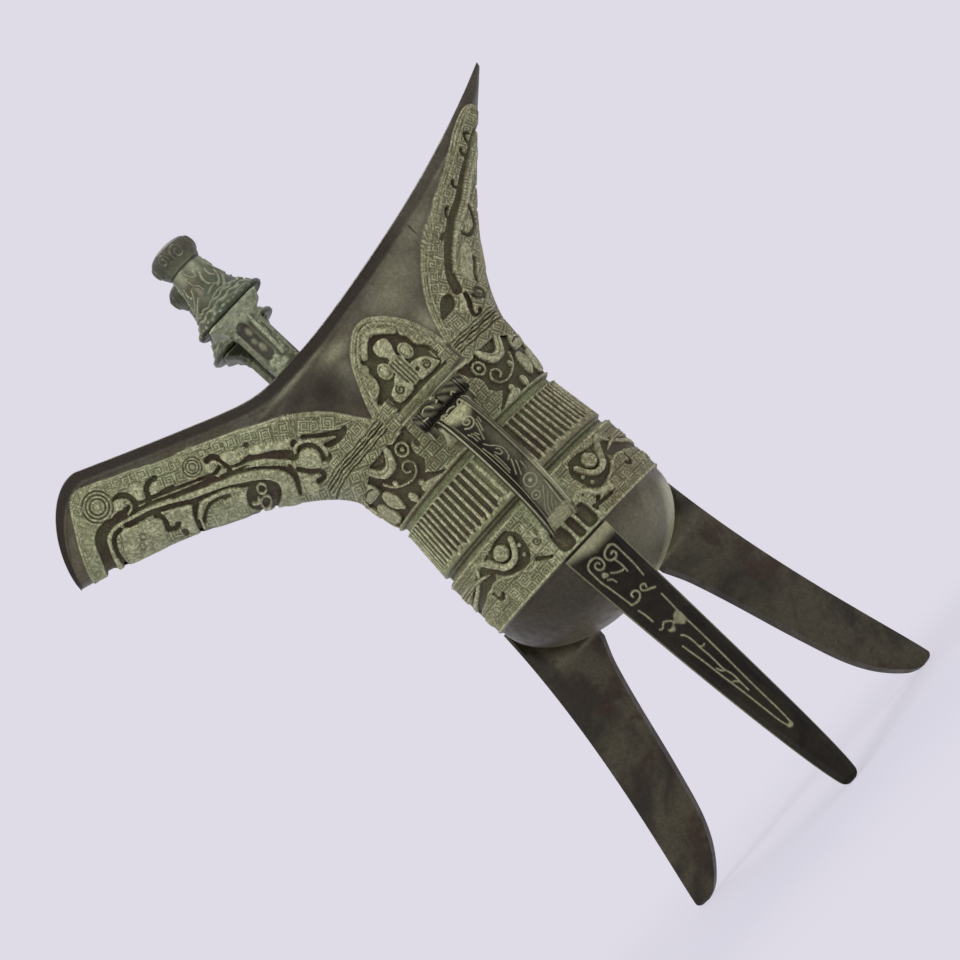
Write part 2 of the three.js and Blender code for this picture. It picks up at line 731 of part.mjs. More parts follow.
function postCap(side) {
  const geometry = new THREE.LatheGeometry(capPoints(), roundSteps / 2);
  const upright = new THREE.Matrix4().makeRotationX(Math.PI / 2);
  const cap = toSolid(geometry, atPost(side, postTopZ + seam).multiply(upright));
  const half = tenonWidth / 2 + socketPlay;
  const socket = [
    squareRing(half, postTopZ - capitalEdge, postChamfer / 2),
    squareRing(half, postTopZ + tenonHeight + socketPlay, postChamfer / 2),
  ];
  return cap.subtract(toSolid(loft(socket), atPost(side)));
}

// Handle, drawn in the plane of Y and Z and given its width along X

const headTopZ = upperBandTopZ - headTopBelow;
const headFootZ = headTopZ - headHeight;
const strapHighZ = headFootZ + headHeight / 3;
const strapLowZ = bandFootZ + strapLowAbove;

// Middle line of the strap, as reach from the axis and height.
const strapLine = new THREE.CubicBezierCurve(
  new THREE.Vector2(bodyRadius + headReach - headTenonDepth, strapHighZ),
  new THREE.Vector2(bodyRadius + strapBend, strapHighZ + strapRise),
  new THREE.Vector2(bodyRadius + strapBend, strapLowZ + strapDroop),
  new THREE.Vector2(bodyRadius - strapRise, strapLowZ),
);

function alongX(shape, width) {
  const geometry = new THREE.ExtrudeGeometry(shape, { depth: width, bevelEnabled: false });
  // Shape X runs out from the axis, shape Y up; the depth lies across the strap.
  const turn = new THREE.Matrix4().makeBasis(
    new THREE.Vector3(0, -1, 0),
    new THREE.Vector3(0, 0, 1),
    new THREE.Vector3(-1, 0, 0),
  );
  return { geometry, turn };
}

function extrudedX(shape, x0, x1) {
  const { geometry, turn } = alongX(shape, x1 - x0);
  return toSolid(geometry, new THREE.Matrix4().makeTranslation(x1, 0, 0).multiply(turn));
}

function strapShape(outward, inward) {
  const outer = [];
  const inner = [];
  for (let i = 0; i <= strapSteps; i++) {
    const point = strapLine.getPoint(i / strapSteps);
    const tangent = strapLine.getTangent(i / strapSteps);
    const normal = new THREE.Vector2(-tangent.y, tangent.x);
    outer.push(point.clone().addScaledVector(normal, outward));
    inner.unshift(point.clone().addScaledVector(normal, -inward));
  }
  return new THREE.Shape([...outer, ...inner]);
}

function strap(vessel, head) {
  const half = strapThickness / 2;
  const width = strapWidth / 2;
  const rail = strapShape(half + railHeight, half);
  const solid = extrudedX(strapShape(half, half), -width, width)
    .add(extrudedX(rail, -width, -width + railWidth))
    .add(extrudedX(rail, width - railWidth, width));
  return solid.subtract(vessel).subtract(head);
}

// Side view of the animal head: brow on top, muzzle hanging over the strap.
function headShape() {
  const back = bodyRadius - wall;
  const front = bodyRadius + headReach;
  const muzzleZ = headFootZ + muzzleHeight;
  return new THREE.Shape([
    new THREE.Vector2(back, headFootZ),
    new THREE.Vector2(front - muzzleDrop, headFootZ),
    new THREE.Vector2(front, headFootZ + muzzleDrop / 2),
    new THREE.Vector2(front, muzzleZ),
    new THREE.Vector2(front - browBack, muzzleZ + browRound / 2),
    new THREE.Vector2(front - browBack, headTopZ - browRound),
    new THREE.Vector2(front - 2 * browBack, headTopZ),
    new THREE.Vector2(back, headTopZ),
  ]);
}

function horn(side) {
  const geometry = new THREE.CylinderGeometry(hornRadius, hornRadius, headWidth / 2 - railWidth, curveSteps);
  const lay = new THREE.Matrix4().makeRotationZ(Math.PI / 2);
  const place = new THREE.Matrix4().makeTranslation(
    side * (headWidth / 4 + railWidth / 2),
    -(bodyRadius + headReach - hornBack),
    headTopZ - hornRadius,
  );
  return toSolid(geometry, place.multiply(lay));
}

function ear(side) {
  const geometry = new THREE.SphereGeometry(earRadius, curveSteps, curveSteps / 2);
  const place = new THREE.Matrix4().makeTranslation(
    side * (headWidth / 2 - earRadius),
    -(bodyRadius + headReach / 2),
    headFootZ + headHeight / 2,
  );
  return toSolid(geometry, place);
}

function head(vessel) {
  const half = (headWidth - 2 * earRadius) / 2;
  let solid = extrudedX(headShape(), -half, half);
  for (const side of [-1, 1]) solid = solid.add(horn(side)).add(ear(side));
  return solid.subtract(vessel);
}

// The pocket in the head that the end of the strap sits in.
function strapPocket() {
  const half = strapThickness / 2 + socketPlay;
  const width = strapWidth / 2 + socketPlay;
  return extrudedX(strapShape(half + railHeight, half), -width, width);
}

// Assembly

const shell = vesselShell();
const bodyBox = box(-seamX + seam / 2, seamX - seam / 2, -far, far, -far, far);
const spoutBox = box(-far, -seamX - seam / 2, -far, far, -far, far);
const tailBox = box(seamX + seam / 2, far, -far, far, -far, far);
const notches = postNotch(1).add(postNotch(-1));
const clearBody = bowlOutside(seam).add(vesselOutside(seam));
const headSolid = head(clearBody);
const sides = { front: -1, back: 1 };

const cup = new THREE.Group();
cup.add(toMesh('cup_body', shell.intersect(bodyBox).subtract(notches), patina));
cup.add(toMesh('spout', shell.intersect(spoutBox), patina));
cup.add(toMesh('tail', shell.intersect(tailBox), patina));
cup.add(toMesh('handle_animal_head', headSolid.subtract(strapPocket()), dark));
cup.add(toMesh('handle_strap', strap(clearBody, headSolid.subtract(strapPocket())), dark));
for (const [name, side] of Object.entries(sides)) {
  cup.add(toMesh(`post_${name}`, post(side), bronze));
  cup.add(toMesh(`post_cap_${name}`, postCap(side), bronze));
}
legNames.forEach((name, i) => {
  const angle = legFrontAngle + (360 / legNames.length) * i;
  cup.add(toMesh(`leg_${name}`, leg(angle, clearBody), i === 0 ? dark : bronze));
});

// The origin is the middle of the foot print, on the table.
const extent = new THREE.Box3().setFromObject(cup);
const centre = extent.getCenter(new THREE.Vector3());
cup.position.set(-centre.x, -centre.y, -extent.min.z);

const model = new THREE.Group();
model.add(cup);

export default model;
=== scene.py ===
# Bronze wine cup on three legs, with its ornament and patina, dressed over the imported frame.
import math

import bmesh
import bpy
import numpy as np
from mathutils import Matrix, Vector


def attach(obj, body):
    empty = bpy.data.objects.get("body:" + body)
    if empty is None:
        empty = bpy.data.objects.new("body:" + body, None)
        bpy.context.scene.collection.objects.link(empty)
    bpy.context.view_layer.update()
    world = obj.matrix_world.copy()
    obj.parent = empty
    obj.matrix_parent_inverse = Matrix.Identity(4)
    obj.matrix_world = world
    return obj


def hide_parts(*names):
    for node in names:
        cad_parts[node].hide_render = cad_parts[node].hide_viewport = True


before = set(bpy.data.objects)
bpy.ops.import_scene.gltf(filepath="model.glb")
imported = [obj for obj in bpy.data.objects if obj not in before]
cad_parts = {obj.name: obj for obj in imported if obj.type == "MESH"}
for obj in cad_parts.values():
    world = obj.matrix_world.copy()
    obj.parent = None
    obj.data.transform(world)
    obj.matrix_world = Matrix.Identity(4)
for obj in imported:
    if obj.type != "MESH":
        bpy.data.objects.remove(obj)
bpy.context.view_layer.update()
print("frame loaded:", len(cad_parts), "nodes")

# Everything is drawn in mm round the axis of the bowl: spout to -X, tail to +X, handle to -Y.
cup = {
    "axisX": 10.4,          # where the bowl's axis stands in the frame
    "axisY": 9.938,
    "radius": 30.0,         # bowl at its bands
    "wall": 3.0,
    "innerRadius": 24.4,
    "ribs": 78,
    "throatStart": 0.6,     # share of the radius where the wall starts to open into the channels
    "flarePower": 1.4,      # how late the wall flares on its way up
    "bottomZ": 69.5,        # lowest point of the egg-shaped bottom
    "bandFootZ": 89.5,
    "ribFootZ": 110.6,
    "ribTopZ": 125.9,
    "upperBandFootZ": 128.0,
    "upperBandTopZ": 143.9,
    "cutZ": 126.9,          # height where the bowl and neck skins meet
    "neckZ": 138.5,         # round below, opening into spout and tail above
    "rimLowZ": 176.9,
    "rimLowX": -14.0,
    "tailRimRise": 23.4,
    "tailRimPower": 1.62,
    "spoutRimSlope": 0.5,
    "spoutRimDelay": 16.0,  # level stretch before the rim climbs the spout
    "spoutRimSoftness": 3.0,
    "lipHeight": 3.8,
    "lipOut": 0.7,
    "lipRound": 0.45,
    "relief": 1.0,          # scale of all cast relief
    "leiwenPitch": 0.72,    # line spacing of the finest square spirals
    "leiwenCell": 3.1,
    # height and radius of the bands, from the foot of the lower band to the neck
    "profile": [(89.5, 30.0), (90.1, 30.6), (107.8, 30.6), (108.3, 30.2), (108.4, 29.0), (110.3, 29.0),
                (110.45, 30.0), (125.7, 28.4), (125.95, 27.4), (127.85, 27.4), (128.1, 28.4), (133.2, 29.5),
                (138.5, 30.0)],
}
spout = {
    "tipX": -98.6, "tipZ": 179.5, "noseX": -77.0, "throatZ": 149.5, "bendX": -62.0, "fall": 10.8,
    "roundness": 2.6,
    "plan": [(0, 31), (-30, 31), (-38, 14), (-98.6, 12.5)],   # half width along X
    "columns": 262, "rows": 118, "rowsInside": 22,
}
tail = {
    "tipX": 77.8, "tipZ": 199.1, "solidTip": 9.0, "throatZ": 159.5, "bendRun": 21.8, "bendFall": 18.7,
    "roundness": 2.0,
    "plan": [(0, 31), (24, 31), (34, 17), (77.8, 2.2)],
    "columns": 205, "rows": 96, "rowsInside": 16,
}
# blades with a bevelled outer face and an inner ridge
leg = {
    "topZ": 89.2, "rootWidth": 15.2, "footWidth": 3.8, "edge": 1.4, "bevel": 1.9, "bevelDrop": 0.55,
    "backSlim": 1.0,     # how far the ridge of the two back legs is drawn out, to make them slimmer
    "outer": [(31, 89.2), (34, 59.67), (43, 29.83), (54, 0)],
    "ridge": [(13.7, 69.8), (27, 39.71), (27, 13.9), (48, 0)],
    "footLength": 6.0, "footRound": 2.0, "faceRows": 63, "plainRows": 9, "columns": 300,
}
wearAndShade = {"reach": 3, "contrast": 2.2, "share": 0.8}   # rubbed edges, and painted shade in the corners, found from the relief
toFrame = Matrix.Translation((cup["axisX"] / 1000, cup["axisY"] / 1000, 0)) @ Matrix.Scale(0.001, 4)


def smooth(low, high, value):
    t = np.clip((value - low) / (high - low), 0, 1)
    return t * t * (3 - 2 * t)


def bezier(points, t):
    a, b, c, d = (np.array(p, float) for p in points)
    t = np.asarray(t, float)[..., None]
    return (1 - t) ** 3 * a + 3 * (1 - t) ** 2 * t * b + 3 * (1 - t) * t * t * c + t ** 3 * d


def runLength(line):
    # distance along a line at each of its points
    return np.concatenate([[0], np.cumsum(np.hypot(*np.diff(line, axis=0).T))])


def evenly(points, count):
    # a bezier's parameters at even steps along its length
    t = np.linspace(0, 1, 2001)
    run = runLength(bezier(points, t))
    return np.interp(np.linspace(0, run[-1], count), run, t)


def heightAt(points, x):
    # height of a bezier over a place on its level axis
    line = bezier(points, np.linspace(0, 1, 2001))
    order = np.argsort(line[:, 0])
    return np.interp(x, line[order, 0], line[order, 1])


def legHalf(z):
    # half width of a leg's blade
    return (leg["footWidth"] + (leg["rootWidth"] - leg["footWidth"]) * np.sqrt(z / cup["bandFootZ"])) / 2


def spoutKeel(inset):
    edge, tip = cup["radius"] - inset, spout["tipZ"] + inset
    bend = (spout["bendX"], tip - spout["fall"])
    return [(-edge, cup["neckZ"]), (-edge, spout["throatZ"] + inset / 2), bend, (spout["tipX"], tip)]


def tailKeel(inset):
    edge, solid = cup["radius"] - inset, tail["solidTip"] if inset > 0 else 0
    slope = tail["bendFall"] / tail["bendRun"]
    tipX, tipZ = tail["tipX"] - solid, tail["tipZ"] - solid * slope + inset
    bend = (tipX - tail["bendRun"] + solid, tipZ - tail["bendFall"] + solid * slope)
    return [(edge, cup["neckZ"]), (edge, tail["throatZ"]), bend, (tipX, tipZ)]


def rimHeight(x):
    lowX, soft = cup["rimLowX"], cup["spoutRimSoftness"]
    back = np.clip(x - lowX, 0, None) / (tail["tipX"] - lowX)
    rise = cup["spoutRimSlope"] * soft * np.log(1 + np.exp((lowX - x - cup["spoutRimDelay"]) / soft))
    return cup["rimLowZ"] + np.where(x >= lowX, cup["tailRimRise"] * back ** cup["tailRimPower"], rise)


def topHeight(x):
    # the rim, rounded down at the nose of the spout
    noseZ = float(rimHeight(np.array(spout["noseX"])))
    nose = [(spout["tipX"], spout["tipZ"]), (-95.6, 191.5), (-85, noseZ + 2), (spout["noseX"], noseZ)]
    return np.where(x < spout["noseX"], heightAt(nose, x), rimHeight(x))


def wallPoint(x, lowY, lowZ, share, inset):
    # front half of the wall: share 0 at the neck circle or keel line, 1 at the rim
    radius = cup["radius"] - inset
    highY = np.maximum(np.where(x < 0, heightAt(spout["plan"], x), heightAt(tail["plan"], x)) - inset, 0.05)
    highZ, top = rimHeight(x), topHeight(x)
    opened = smooth(radius * cup["throatStart"], radius, np.abs(x))
    reach = np.clip((top - lowZ) / np.maximum(highZ - lowZ, 0.01), 0, 1)
    v = reach * (share * (1 - opened) + (1 - np.cos(np.pi / 2 * share)) * opened)
    channel = np.sqrt(np.clip(1 - (1 - v) ** np.where(x < 0, spout["roundness"], tail["roundness"]), 0, 1))
    bulge = v ** cup["flarePower"] * (1 - opened) + channel * opened
    y = lowY + (highY - lowY) * bulge
    return np.stack(np.broadcast_arrays(x, -y, np.minimum(lowZ + (highZ - lowZ) * v, top)), -1)


# Drawing on a skin: strokes, blocks and rings set its height and its colour weights point by point.
sheetKeys = ("height", "dark", "pale", "fine", "bare", "brown", "turnA", "turnB")
raisedTones = {"dark": 0, "pale": 0.6, "fine": 0, "bare": 0}   # of whatever is drawn, unless it says otherwise


def newSheet(a, b):
    # a, b: the drawing's own place of every point of the skin
    a, b = np.broadcast_arrays(a, b)
    return {"a": a.flatten(), "b": b.flatten(), "shape": a.shape, **{key: np.zeros(a.size) for key in sheetKeys}}


def curveThrough(points, closed=False, steps=5):
    # a smooth line through all the points
    p = np.array(points, float)
    if len(p) < 3:
        return p
    ends = [p[-1:], p, p[:2]] if closed else [2 * p[:1] - p[1:2], p, 2 * p[-1:] - p[-2:-1]]
    q = np.vstack(ends)
    t = np.linspace(0, 1, steps, endpoint=False)[:, None]
    runs = []
    for a, b, c, d in zip(q, q[1:], q[2:], q[3:]):
        square, cube = 2 * a - 5 * b + 4 * c - d, 3 * b - 3 * c + d - a
        runs.append(0.5 * (2 * b + (c - a) * t + square * t ** 2 + cube * t ** 3))
    return np.vstack(runs + [p[:1] if closed else p[-1:]])


def nearBy(sheet, line, reach):
    low, high = line.min(axis=0) - reach, line.max(axis=0) + reach
    a, b = sheet["a"], sheet["b"]
    return np.nonzero((a > low[0]) & (a < high[0]) & (b > low[1]) & (b < high[1]))[0]


def lineDistance(a, b, line):
    # distance from each point to the line, and how far along the line it is nearest
    start, run = line[:-1], np.diff(line, axis=0)
    length = np.maximum((run ** 2).sum(axis=1), 1e-9)
    da, db = a[:, None] - start[:, 0], b[:, None] - start[:, 1]
    t = np.clip((da * run[:, 0] + db * run[:, 1]) / length, 0, 1)
    gap = (da - t * run[:, 0]) ** 2 + (db - t * run[:, 1]) ** 2
    best = gap.argmin(axis=1)
    rows = np.arange(len(a))
    return np.sqrt(gap[rows, best]), (best + t[rows, best]) / len(run)


def lay(sheet, where, weight, tones):
    for key, value in {**raisedTones, **tones}.items():
        sheet[key][where] += (value - sheet[key][where]) * weight


def stroke(sheet, points, width=1.0, height=0.1, dome=0.15, closed=False, soft=0.2, straight=False, **tones):
    # width may be a pair: start and end of a tapering stroke
    line = np.array(points, float) if straight else curveThrough(points, closed)
    first, last = width if isinstance(width, tuple) else (width, width)
    where = nearBy(sheet, line, max(first, last) / 2 + soft)
    if len(where) == 0:
        return
    gap, along = lineDistance(sheet["a"][where], sheet["b"][where], line)
    half = (first + (last - first) * along) / 2
    weight = 1 - smooth(half - soft, half + soft, gap)
    tones["height"] = height + dome * np.clip(1 - (gap / half) ** 2, 0, 1)
    lay(sheet, where, weight, tones)


def cut(sheet, points, width=1.2, depth=0.9, **more):
    stroke(sheet, points, width, **{"height": -depth, "dome": 0, "dark": 1, "pale": 0, **more})


def block(sheet, points, height=0.1, dome=0.3, sharp=False, soft=0.2, **tones):
    # a filled shape with a rounded top
    line = np.array(points + points[:1], float) if sharp else curveThrough(points, True)
    where = nearBy(sheet, line, soft)
    if len(where) == 0:
        return
    a, b = sheet["a"][where], sheet["b"][where]
    gap = lineDistance(a, b, line)[0]
    crossed = np.zeros(len(where), int)
    for (a0, b0), (a1, b1) in zip(line, line[1:]):
        spans = (b0 > b) != (b1 > b)
        crossed += spans & (a < (a1 - a0) * (b - b0) / (b1 - b0 + 1e-12) + a0)
    inside = np.where(crossed % 2 == 1, gap, -gap)
    tones["height"] = height + dome * (1 - np.exp(-np.clip(inside, 0, None) / 0.8))
    lay(sheet, where, smooth(-soft, soft, inside), tones)


def hollow(sheet, points, depth, **tones):
    block(sheet, points, **{"height": -depth, "dome": 0, "dark": 1, "pale": 0, **tones})


def paintedLightPatch(sheet, centre, reach, amount, key="pale", over="bare"):
    # a soft patch of painted light or shade on the plain metal, or on the ornament
    near = np.exp(-((sheet["a"] - centre[0]) / reach[0]) ** 2 - ((sheet["b"] - centre[1]) / reach[1]) ** 2)
    share = sheet["bare"] if over == "bare" else 1 - sheet["bare"]
    sheet[key] = np.maximum(sheet[key], amount * near * share)


def border(sheet, edge):
    # raised edge of a panel: two fine bright lines on a low ridge
    line = curveThrough(edge)
    run = np.gradient(line, axis=0)
    side = np.stack([-run[:, 1], run[:, 0]], -1) / np.linalg.norm(run, axis=1, keepdims=True)
    stroke(sheet, line, 1.0, straight=True, height=0.35, dome=0.05, pale=0.15, dark=0.2)
    for shift, pale in ((-0.36, 0.8), (0.36, 1.0)):
        stroke(sheet, line + side * shift, 0.28, straight=True, height=0.5, dome=0.05, soft=0.12, pale=pale)


def rounded(centre, radius, stretch, count):
    turn = np.linspace(0, 2 * np.pi, count, endpoint=False)
    return [(centre[0] + radius * math.cos(t), centre[1] + radius * stretch * math.sin(t)) for t in turn]


def dot(sheet, centre, radius, stretch=1.0, **tones):
    block(sheet, rounded(centre, radius, stretch, 12), **{"dome": 0.45, **tones})


def pit(sheet, centre, radius, depth, dark=1.0, stretch=1.0):
    hollow(sheet, rounded(centre, radius, stretch, 12), depth, dark=dark)


def ring(sheet, centre, radius, width=0.6, stretch=1.0, **tones):
    stroke(sheet, rounded(centre, radius, stretch, 14), width, closed=True, **tones)


def curl(sheet, centre, radius, turns=1.4, start=0.0, width=0.6, way=1, inner=0.25, **tones):
    # a spiral from its outer end to its eye
    t = np.linspace(0, 1, int(12 * turns) + 2)
    reach = radius * (1 - (1 - inner) * t)
    angle = math.radians(start) + way * 2 * np.pi * turns * t
    points = [(centre[0] + r * math.cos(g), centre[1] + r * math.sin(g)) for r, g in zip(reach, angle)]
    stroke(sheet, points, width, **tones)


def leiwenGround(sheet, angle=0.0, phase=(0.0, 0.0)):
    # every point gets its place inside a cell; the material draws the square spiral there
    cell = cup["leiwenCell"]
    cosA, sinA = math.cos(math.radians(angle)), math.sin(math.radians(angle))
    a = (sheet["a"] * cosA + sheet["b"] * sinA) / cell + phase[0]
    b = (sheet["b"] * cosA - sheet["a"] * sinA) / cell + phase[1]
    flip = np.where((np.floor(a) + np.floor(b)) % 2 == 0, 1, -1)
    sheet["turnA"], sheet["turnB"] = (a % 1 - 0.5) * cell * flip, (b % 1 - 0.5) * cell


def leiwen(sheet, centre, radius, angle=0.0, flip=1):
    # one square spiral where the eye sees it in the casting
    da, db = sheet["a"] - centre[0], sheet["b"] - centre[1]
    cosA, sinA = math.cos(math.radians(angle)), math.sin(math.radians(angle))
    a, b = da * cosA + db * sinA, db * cosA - da * sinA
    where = np.maximum(np.abs(a), np.abs(b)) < radius
    sheet["turnA"][where], sheet["turnB"][where] = a[where] * flip, b[where]
    sheet["fine"][where], sheet["dark"][where], sheet["pale"][where] = 1, 0, 0.25


def blurred(field, reach):
    # mean over a square of points
    for axis in (0, 1):
        pad = [(reach, reach) if i == axis else (0, 0) for i in (0, 1)]
        wide = np.pad(field, pad, mode="edge")
        size = field.shape[axis]
        field = sum(np.take(wide, range(k, k + size), axis=axis) for k in range(2 * reach + 1)) / (2 * reach + 1)
    return field


# A skin is one grid, moved on to its formula, with the relief pushed out along its normals.
def skinMesh(spots, sheet, mirrored=True, core=None):
    # the sheet covers the first rows; core: points that the skin goes round, where that isn't the bowl's axis
    near = 0.004   # mm, points closer than this are one
    rows, columns = spots.shape[:2]
    spots = spots.copy()
    joined = np.allclose(spots[0], spots[-1])
    tones = np.zeros((rows, columns, 4))
    tones[..., 3] = 1
    turns = np.zeros((rows, columns, 3))
    count = sheet["shape"][0]
    field = {key: sheet[key].reshape(sheet["shape"]) for key in sheetKeys}
    height = field["height"] * cup["relief"]
    part = spots[:count]
    across, upward = np.gradient(part, axis=1), np.gradient(part, axis=0)
    normal = np.cross(across, upward)
    normal /= np.maximum(np.linalg.norm(normal, axis=2, keepdims=True), 1e-9)
    away = part * np.array([1, 1, 0]) if core is None else part - core
    if (normal * away).sum() < 0:
        normal = -normal  # outward, whichever way the columns run
    apart = np.minimum(np.linalg.norm(across, axis=2), np.linalg.norm(upward, axis=2)) > near
    spots[:count] = part + normal * (height * apart)[..., None]
    # pale where the relief stands above its surroundings, for rubbed edges; dark where it lies below them, a
    # painted shade in the hollows
    wearAndLight = np.clip((height - blurred(height, wearAndShade["reach"])) * wearAndShade["contrast"], -1, 1)
    field["dark"] = np.clip(field["dark"] + wearAndShade["share"] * np.clip(-wearAndLight, 0, 1), 0, 1)
    field["pale"] = np.clip(field["pale"] + wearAndShade["share"] * np.clip(wearAndLight, 0, 1), 0, 1)
    tones[:count] = np.stack([field[key] for key in ("dark", "pale", "fine", "bare")], -1)
    turns[:count] = np.stack([field[key] for key in ("turnA", "turnB", "brown")], -1)
    if joined:
        spots[-1], tones[-1], turns[-1] = spots[0], tones[0], turns[0]
    bm = bmesh.new()
    bmesh.ops.create_grid(bm, x_segments=columns - 1, y_segments=rows - 1, size=0.5)
    toneLayer = bm.verts.layers.float_color.new("tone")
    turnLayer = bm.verts.layers.float_vector.new("turn")
    for vert in bm.verts:
        column = round((vert.co.x + 0.5) * (columns - 1))
        row = round((vert.co.y + 0.5) * (rows - 1))
        vert.co = spots[row, column]
        vert[toneLayer] = tones[row, column]
        vert[turnLayer] = turns[row, column]
    bmesh.ops.remove_doubles(bm, verts=bm.verts, dist=near / 2)
    if mirrored:
        bmesh.ops.mirror(bm, geom=bm.verts[:] + bm.edges[:] + bm.faces[:], axis="Y", merge_dist=near)
    bmesh.ops.holes_fill(bm, edges=[e for e in bm.edges if e.is_boundary], sides=0)
    bmesh.ops.recalc_face_normals(bm, faces=bm.faces)
    return bm


def finishPiece(bm, name, nodes, slot, sharpAngle):
    # finished object in metres, with the material of its slot
    bmesh.ops.transform(bm, matrix=toFrame, verts=bm.verts)
    for face in bm.faces:
        face.smooth = True
    mesh = bpy.data.meshes.new(name)
    bm.to_mesh(mesh)
    bm.free()
    mesh.set_sharp_from_angle(angle=math.radians(sharpAngle))
    mesh.materials.append(finishes[slot])
    piece = bpy.data.objects.new(name, mesh)
    bpy.context.scene.collection.objects.link(piece)
    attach(piece, "root")
    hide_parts(*nodes)
    print(name, "has", sum(len(p.vertices) - 2 for p in mesh.polygons), "triangles")


# Finishes
def paint(red, greenAndSheen, blue):
    # a colour as it is seen on screen
    def linear(c):
        c /= 255
        return c / 12.92 if c <= 0.04045 else ((c + 0.055) / 1.055) ** 2.4
    return (linear(red), linear(greenAndSheen), linear(blue), 1)


def newMaterial(name):
    material = bpy.data.materials.new(name)
    material.use_nodes = True
    material.node_tree.nodes.clear()
    return material, material.node_tree


def put(tree, kind, inputs=None, **settings):
    made = tree.nodes.new("ShaderNode" + kind)
    for key, value in settings.items():
        setattr(made, key, value)
    for key, value in (inputs or {}).items():
        if isinstance(value, bpy.types.NodeSocket):
            tree.links.new(value, made.inputs[key])
        else:
            made.inputs[key].default_value = value
    return made


def maths(tree, operation, a, b=0.0, clamp=False, c=0.0):
    return put(tree, "Math", {0: a, 1: b, 2: c}, operation=operation, use_clamp=clamp).outputs[0]


def times(tree, a, b, clamp=False):
    return maths(tree, "MULTIPLY", a, b, clamp)


def noise(tree, where, scale, detail=4.0, roughness=0.55, distortion=0.0):
    inputs = {"Vector": where, "Scale": scale, "Detail": detail, "Roughness": roughness, "Distortion": distortion}
    return put(tree, "TexNoise", inputs).outputs[0]


def spread(tree, value, low, high, toLow=0.0, toHigh=1.0):
    inputs = {"Value": value, "From Min": low, "From Max": high, "To Min": toLow, "To Max": toHigh}
    return put(tree, "MapRange", inputs, interpolation_type="SMOOTHSTEP").outputs[0]


def mixed(tree, factor, a, b, way="MIX"):
    return put(tree, "Mix", {0: factor, 6: a, 7: b}, data_type="RGBA", blend_type=way).outputs[2]


# noise cells in a metre, and the bump that the finest of them make
grain = {
    "clouds": 70, "specks": 330, "grains": 900, "dust": 2300, "scrolls": 300, "bareClouds": 34, "bareStains": 52,
    "bumpDepth": 0.00026, "bumpStrength": 0.85,
}


